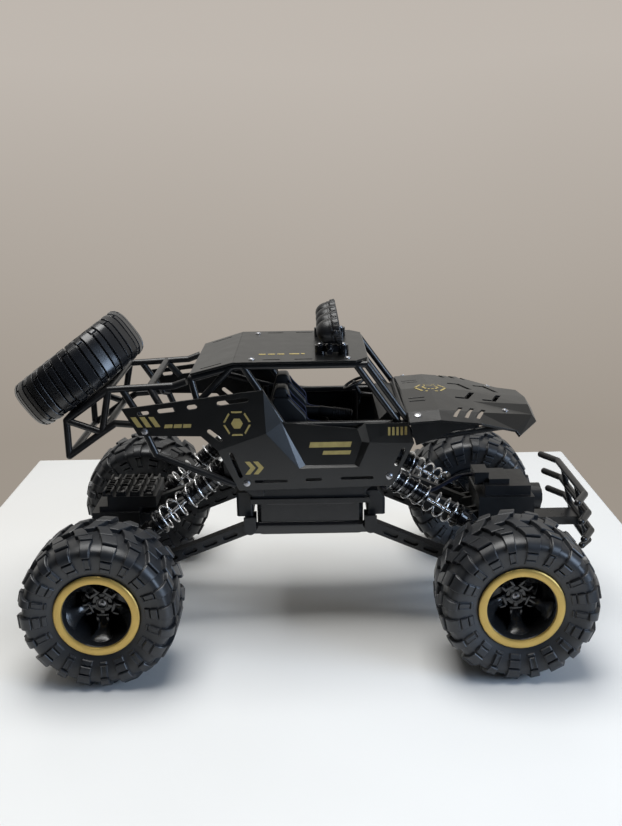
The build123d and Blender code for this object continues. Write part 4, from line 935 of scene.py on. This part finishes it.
for sign in SIDES.values():
    face = QUARTER_Y + SHEET / 2
    for x in (-110.5, -104.8, -99.1):
        side_mark([(x, 158.6), (x + 3.4, 158.6), (x + 7.6, 151.8), (x + 4.2, 151.8)], face, sign)
    for x in (-88.6, -82.6, -76.6):
        side_mark([(x, 153.4), (x + 5.0, 153.4), (x + 4.4, 151.0), (x - 0.6, 151.0)], face, sign)
    for bar in ring_bars(*QUARTER_DEVICE, 9.4, 8.1):
        side_mark(bar, face, sign)
    side_mark(hexagon(*QUARTER_DEVICE, 3.8), face, sign)
    # Double chevron on the sill
    for x in (-38.4, -33.0):
        sill_mark([(x, 126.9), (x + 3.2, 126.9), (x + 6.9, 122.4),
                   (x + 3.2, 117.9), (x, 117.9), (x + 3.5, 122.4)], sign)
    # Door: two plain bars
    side_mark([(4.5, 138.2), (31.5, 138.2), (30.5, 134.6), (3.5, 134.6)], DOOR_Y, sign)
    side_mark([(13, 132.2), (31, 132.2), (30.2, 129.6), (12.2, 129.6)], DOOR_Y, sign)
    for k in range(5):
        x = 54.8 + 2.7 * k
        corner_mark([(x, 148.2), (x + 1.5, 148.2), (x + 1.5, 142.8), (x, 142.8)], sign)
for outer_radius, inner_radius in ((11.8, 10.2), (6.4, 5.0)):
    for bar in ring_bars(*HOOD_DEVICE, outer_radius, inner_radius):
        hood_mark(bar)
# Five short bars in a row on the roof
for x, length in ((-28.5, 4.6), (-22.4, 4.6), (-16.3, 4.6), (-8.4, 6.6), (-0.6, 2.4)):
    block(marks, (x, -31.0, 192.2), (x + length, -28.2, 192.4 + PRINT), 0.02)
finish_piece("gold_marks", marks, GOLD_PRINT, "chassis")


# ---------------------------------------------------------------- seats and cabin details
# Side outlines of a seat's cushion and of its bolsters, in X and Z
SEAT_LINE = [(-22, 126), (-24, 150), (-18.6, 167.6), (-17, 168.6), (-12, 168.6), (-10.6, 167.4),
             (-6.5, 154), (0, 143), (2.4, 140.4), (13, 139), (16.6, 135), (15, 126)]
BOLSTER_LINE = [(-22, 126), (-24, 150), (-19.4, 163), (-9.6, 163), (-7.4, 160.4), (0.8, 151.4),
                (2.2, 149), (2.8, 142.4), (4.4, 140.8), (14.4, 140), (18, 136), (16, 126)]
PIPING_LINE = [(-10.0, 164.4), (-7.4, 160.6), (-3.2, 156.2), (1.2, 151.2), (2.9, 143), (13.6, 140.4),
               (16.6, 136.6)]
SEAT_Y = 20
cushions, trims = Shape(), Shape()
place = place_along((0, 0, 0), (0, -1, 0), (1, 0, 0))
for sign in SIDES.values():
    centre = sign * SEAT_Y
    for low, high, outline in ((-7, 7, SEAT_LINE), (-12, -7.6, BOLSTER_LINE), (7.6, 12, BOLSTER_LINE)):
        prism(cushions, outline, -(centre + high), -(centre + low), place, 1.3, 3)
    for edge in (-7.3, 7.3):
        tube(trims, smooth_path([(x, centre + edge, z) for x, z in PIPING_LINE], 6), 0.55, 8)
finish_piece("seat_cushions", cushions, PLASTIC, "chassis", ["seat_right", "seat_left"])
finish_piece("seat_trim", trims, PIPING, "chassis")

# Ribbed grip on the console
console = Shape()
grip_start, grip_end = Vector((12, 0, 145)), Vector((34, 0, 141.5))
place = place_along(grip_start, grip_end - grip_start)
grip = [(0.01, -1), (3.5, -1), (3.7, -0.6), (3.7, 8.0)]
for index in range(11):
    low = 8.4 + index * 1.2
    grip += [(3.75, low), (4.3, low + 0.3), (4.3, low + 0.7), (3.75, low + 1.0)]
grip += [(3.4, 22.2), (0.01, 22.4)]
lathe(console, grip, place, 32)
finish_piece("console_grip", console, PLASTIC, "chassis")


# ---------------------------------------------------------------- battery box and gearbox details
# Side face of the battery box
BOX_Y = 46.0
box_trim = Shape()
low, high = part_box("battery_cover")
left_end, right_end, floor_z = low.x / MM, high.x / MM, low.z / MM
for sign in SIDES.values():
    near, far = sorted((sign * (BOX_Y - 0.6), sign * (BOX_Y + 0.9)))
    block(box_trim, (left_end + 10.5, near, 93.2), (right_end - 10.5, far, 94.4), 0.25)
    # Band of the bottom tray, a little proud of the box
    near, far = sorted((sign * (BOX_Y - 0.4), sign * (BOX_Y + 0.7)))
    block(box_trim, (left_end + 0.4, near, floor_z + 1.0), (right_end - 0.4, far, floor_z + 9.4), 0.4)
finish_piece("battery_box_trim", box_trim, GLOSS, "chassis")

# Rear gear case: every pad of its lid carries an open clip round a dark sheet, painted shade that stands in
# for its open well
LID_Z = 92.2
clips, painted_shade_wells = Shape(), Shape()
for column in range(4):
    x = AXLE_X["rear"] + 15 - 9.5 * column
    for row, y in enumerate((-19, -6, 7)):
        for left in (0.2, 5.6):
            block(clips, (x + left, y + 0.3, LID_Z), (x + left + 1.2, y + 11.2, LID_Z + 2.4), 0.25)
        # Crossbars, some of them left out
        for near in (0.3, 4.9, 10.0):
            if (column + row + (near > 4)) % 3:
                block(clips, (x + 1.2, y + near, LID_Z), (x + 5.8, y + near + 1.2, LID_Z + 1.8), 0.25)
        # Dark gloss sheet at the bottom of the clip: painted shade of the opening
        block(painted_shade_wells, (x + 1.2, y + 1.2, LID_Z), (x + 5.8, y + 10.4, LID_Z + 0.4), 0.05)
finish_piece("lid_clips", clips, PLASTIC, "rear_axle")
finish_piece("lid_painted_shade_wells", painted_shade_wells, GLOSS, "rear_axle")


# ---------------------------------------------------------------- motor lead
LEAD_POINTS = ((119.8, 0, 96), (112, 0, 96), (103, -1.2, 91.8), (92.5, -2.2, 85.6), (80, -2, 83.6),
               (67, 0, 87.5), (54, 0, 87.5))
LEAD_RADIUS = 1.3


def lead_mesh():
    """Closed tube along a smooth spline from the front motor to the chassis."""
    curve = bpy.data.curves.new("lead_line", "CURVE")
    curve.dimensions = "3D"
    spline = curve.splines.new("NURBS")
    spline.points.add(len(LEAD_POINTS) - 1)
    for point, (x, y, z) in zip(spline.points, LEAD_POINTS):
        point.co = (x * MM, y * MM, z * MM, 1)
    spline.order_u = 3
    spline.use_endpoint_u = True
    spline.resolution_u = 12
    curve.bevel_depth = LEAD_RADIUS * MM
    curve.bevel_resolution = 4
    curve.use_fill_caps = True
    line = bpy.data.objects.new("lead_line", curve)
    bpy.context.scene.collection.objects.link(line)
    bpy.context.view_layer.update()
    mesh = bpy.data.meshes.new_from_object(line.evaluated_get(bpy.context.evaluated_depsgraph_get()))
    bpy.data.objects.remove(line)
    mesh.name = "motor_lead_sleeve"
    mesh.materials.clear()
    mesh.materials.append(SLEEVE)
    mesh.shade_smooth()
    return mesh


lead = bpy.data.objects.new("motor_lead_sleeve", lead_mesh())
bpy.context.scene.collection.objects.link(lead)
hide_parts("motor_lead")
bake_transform(lead)
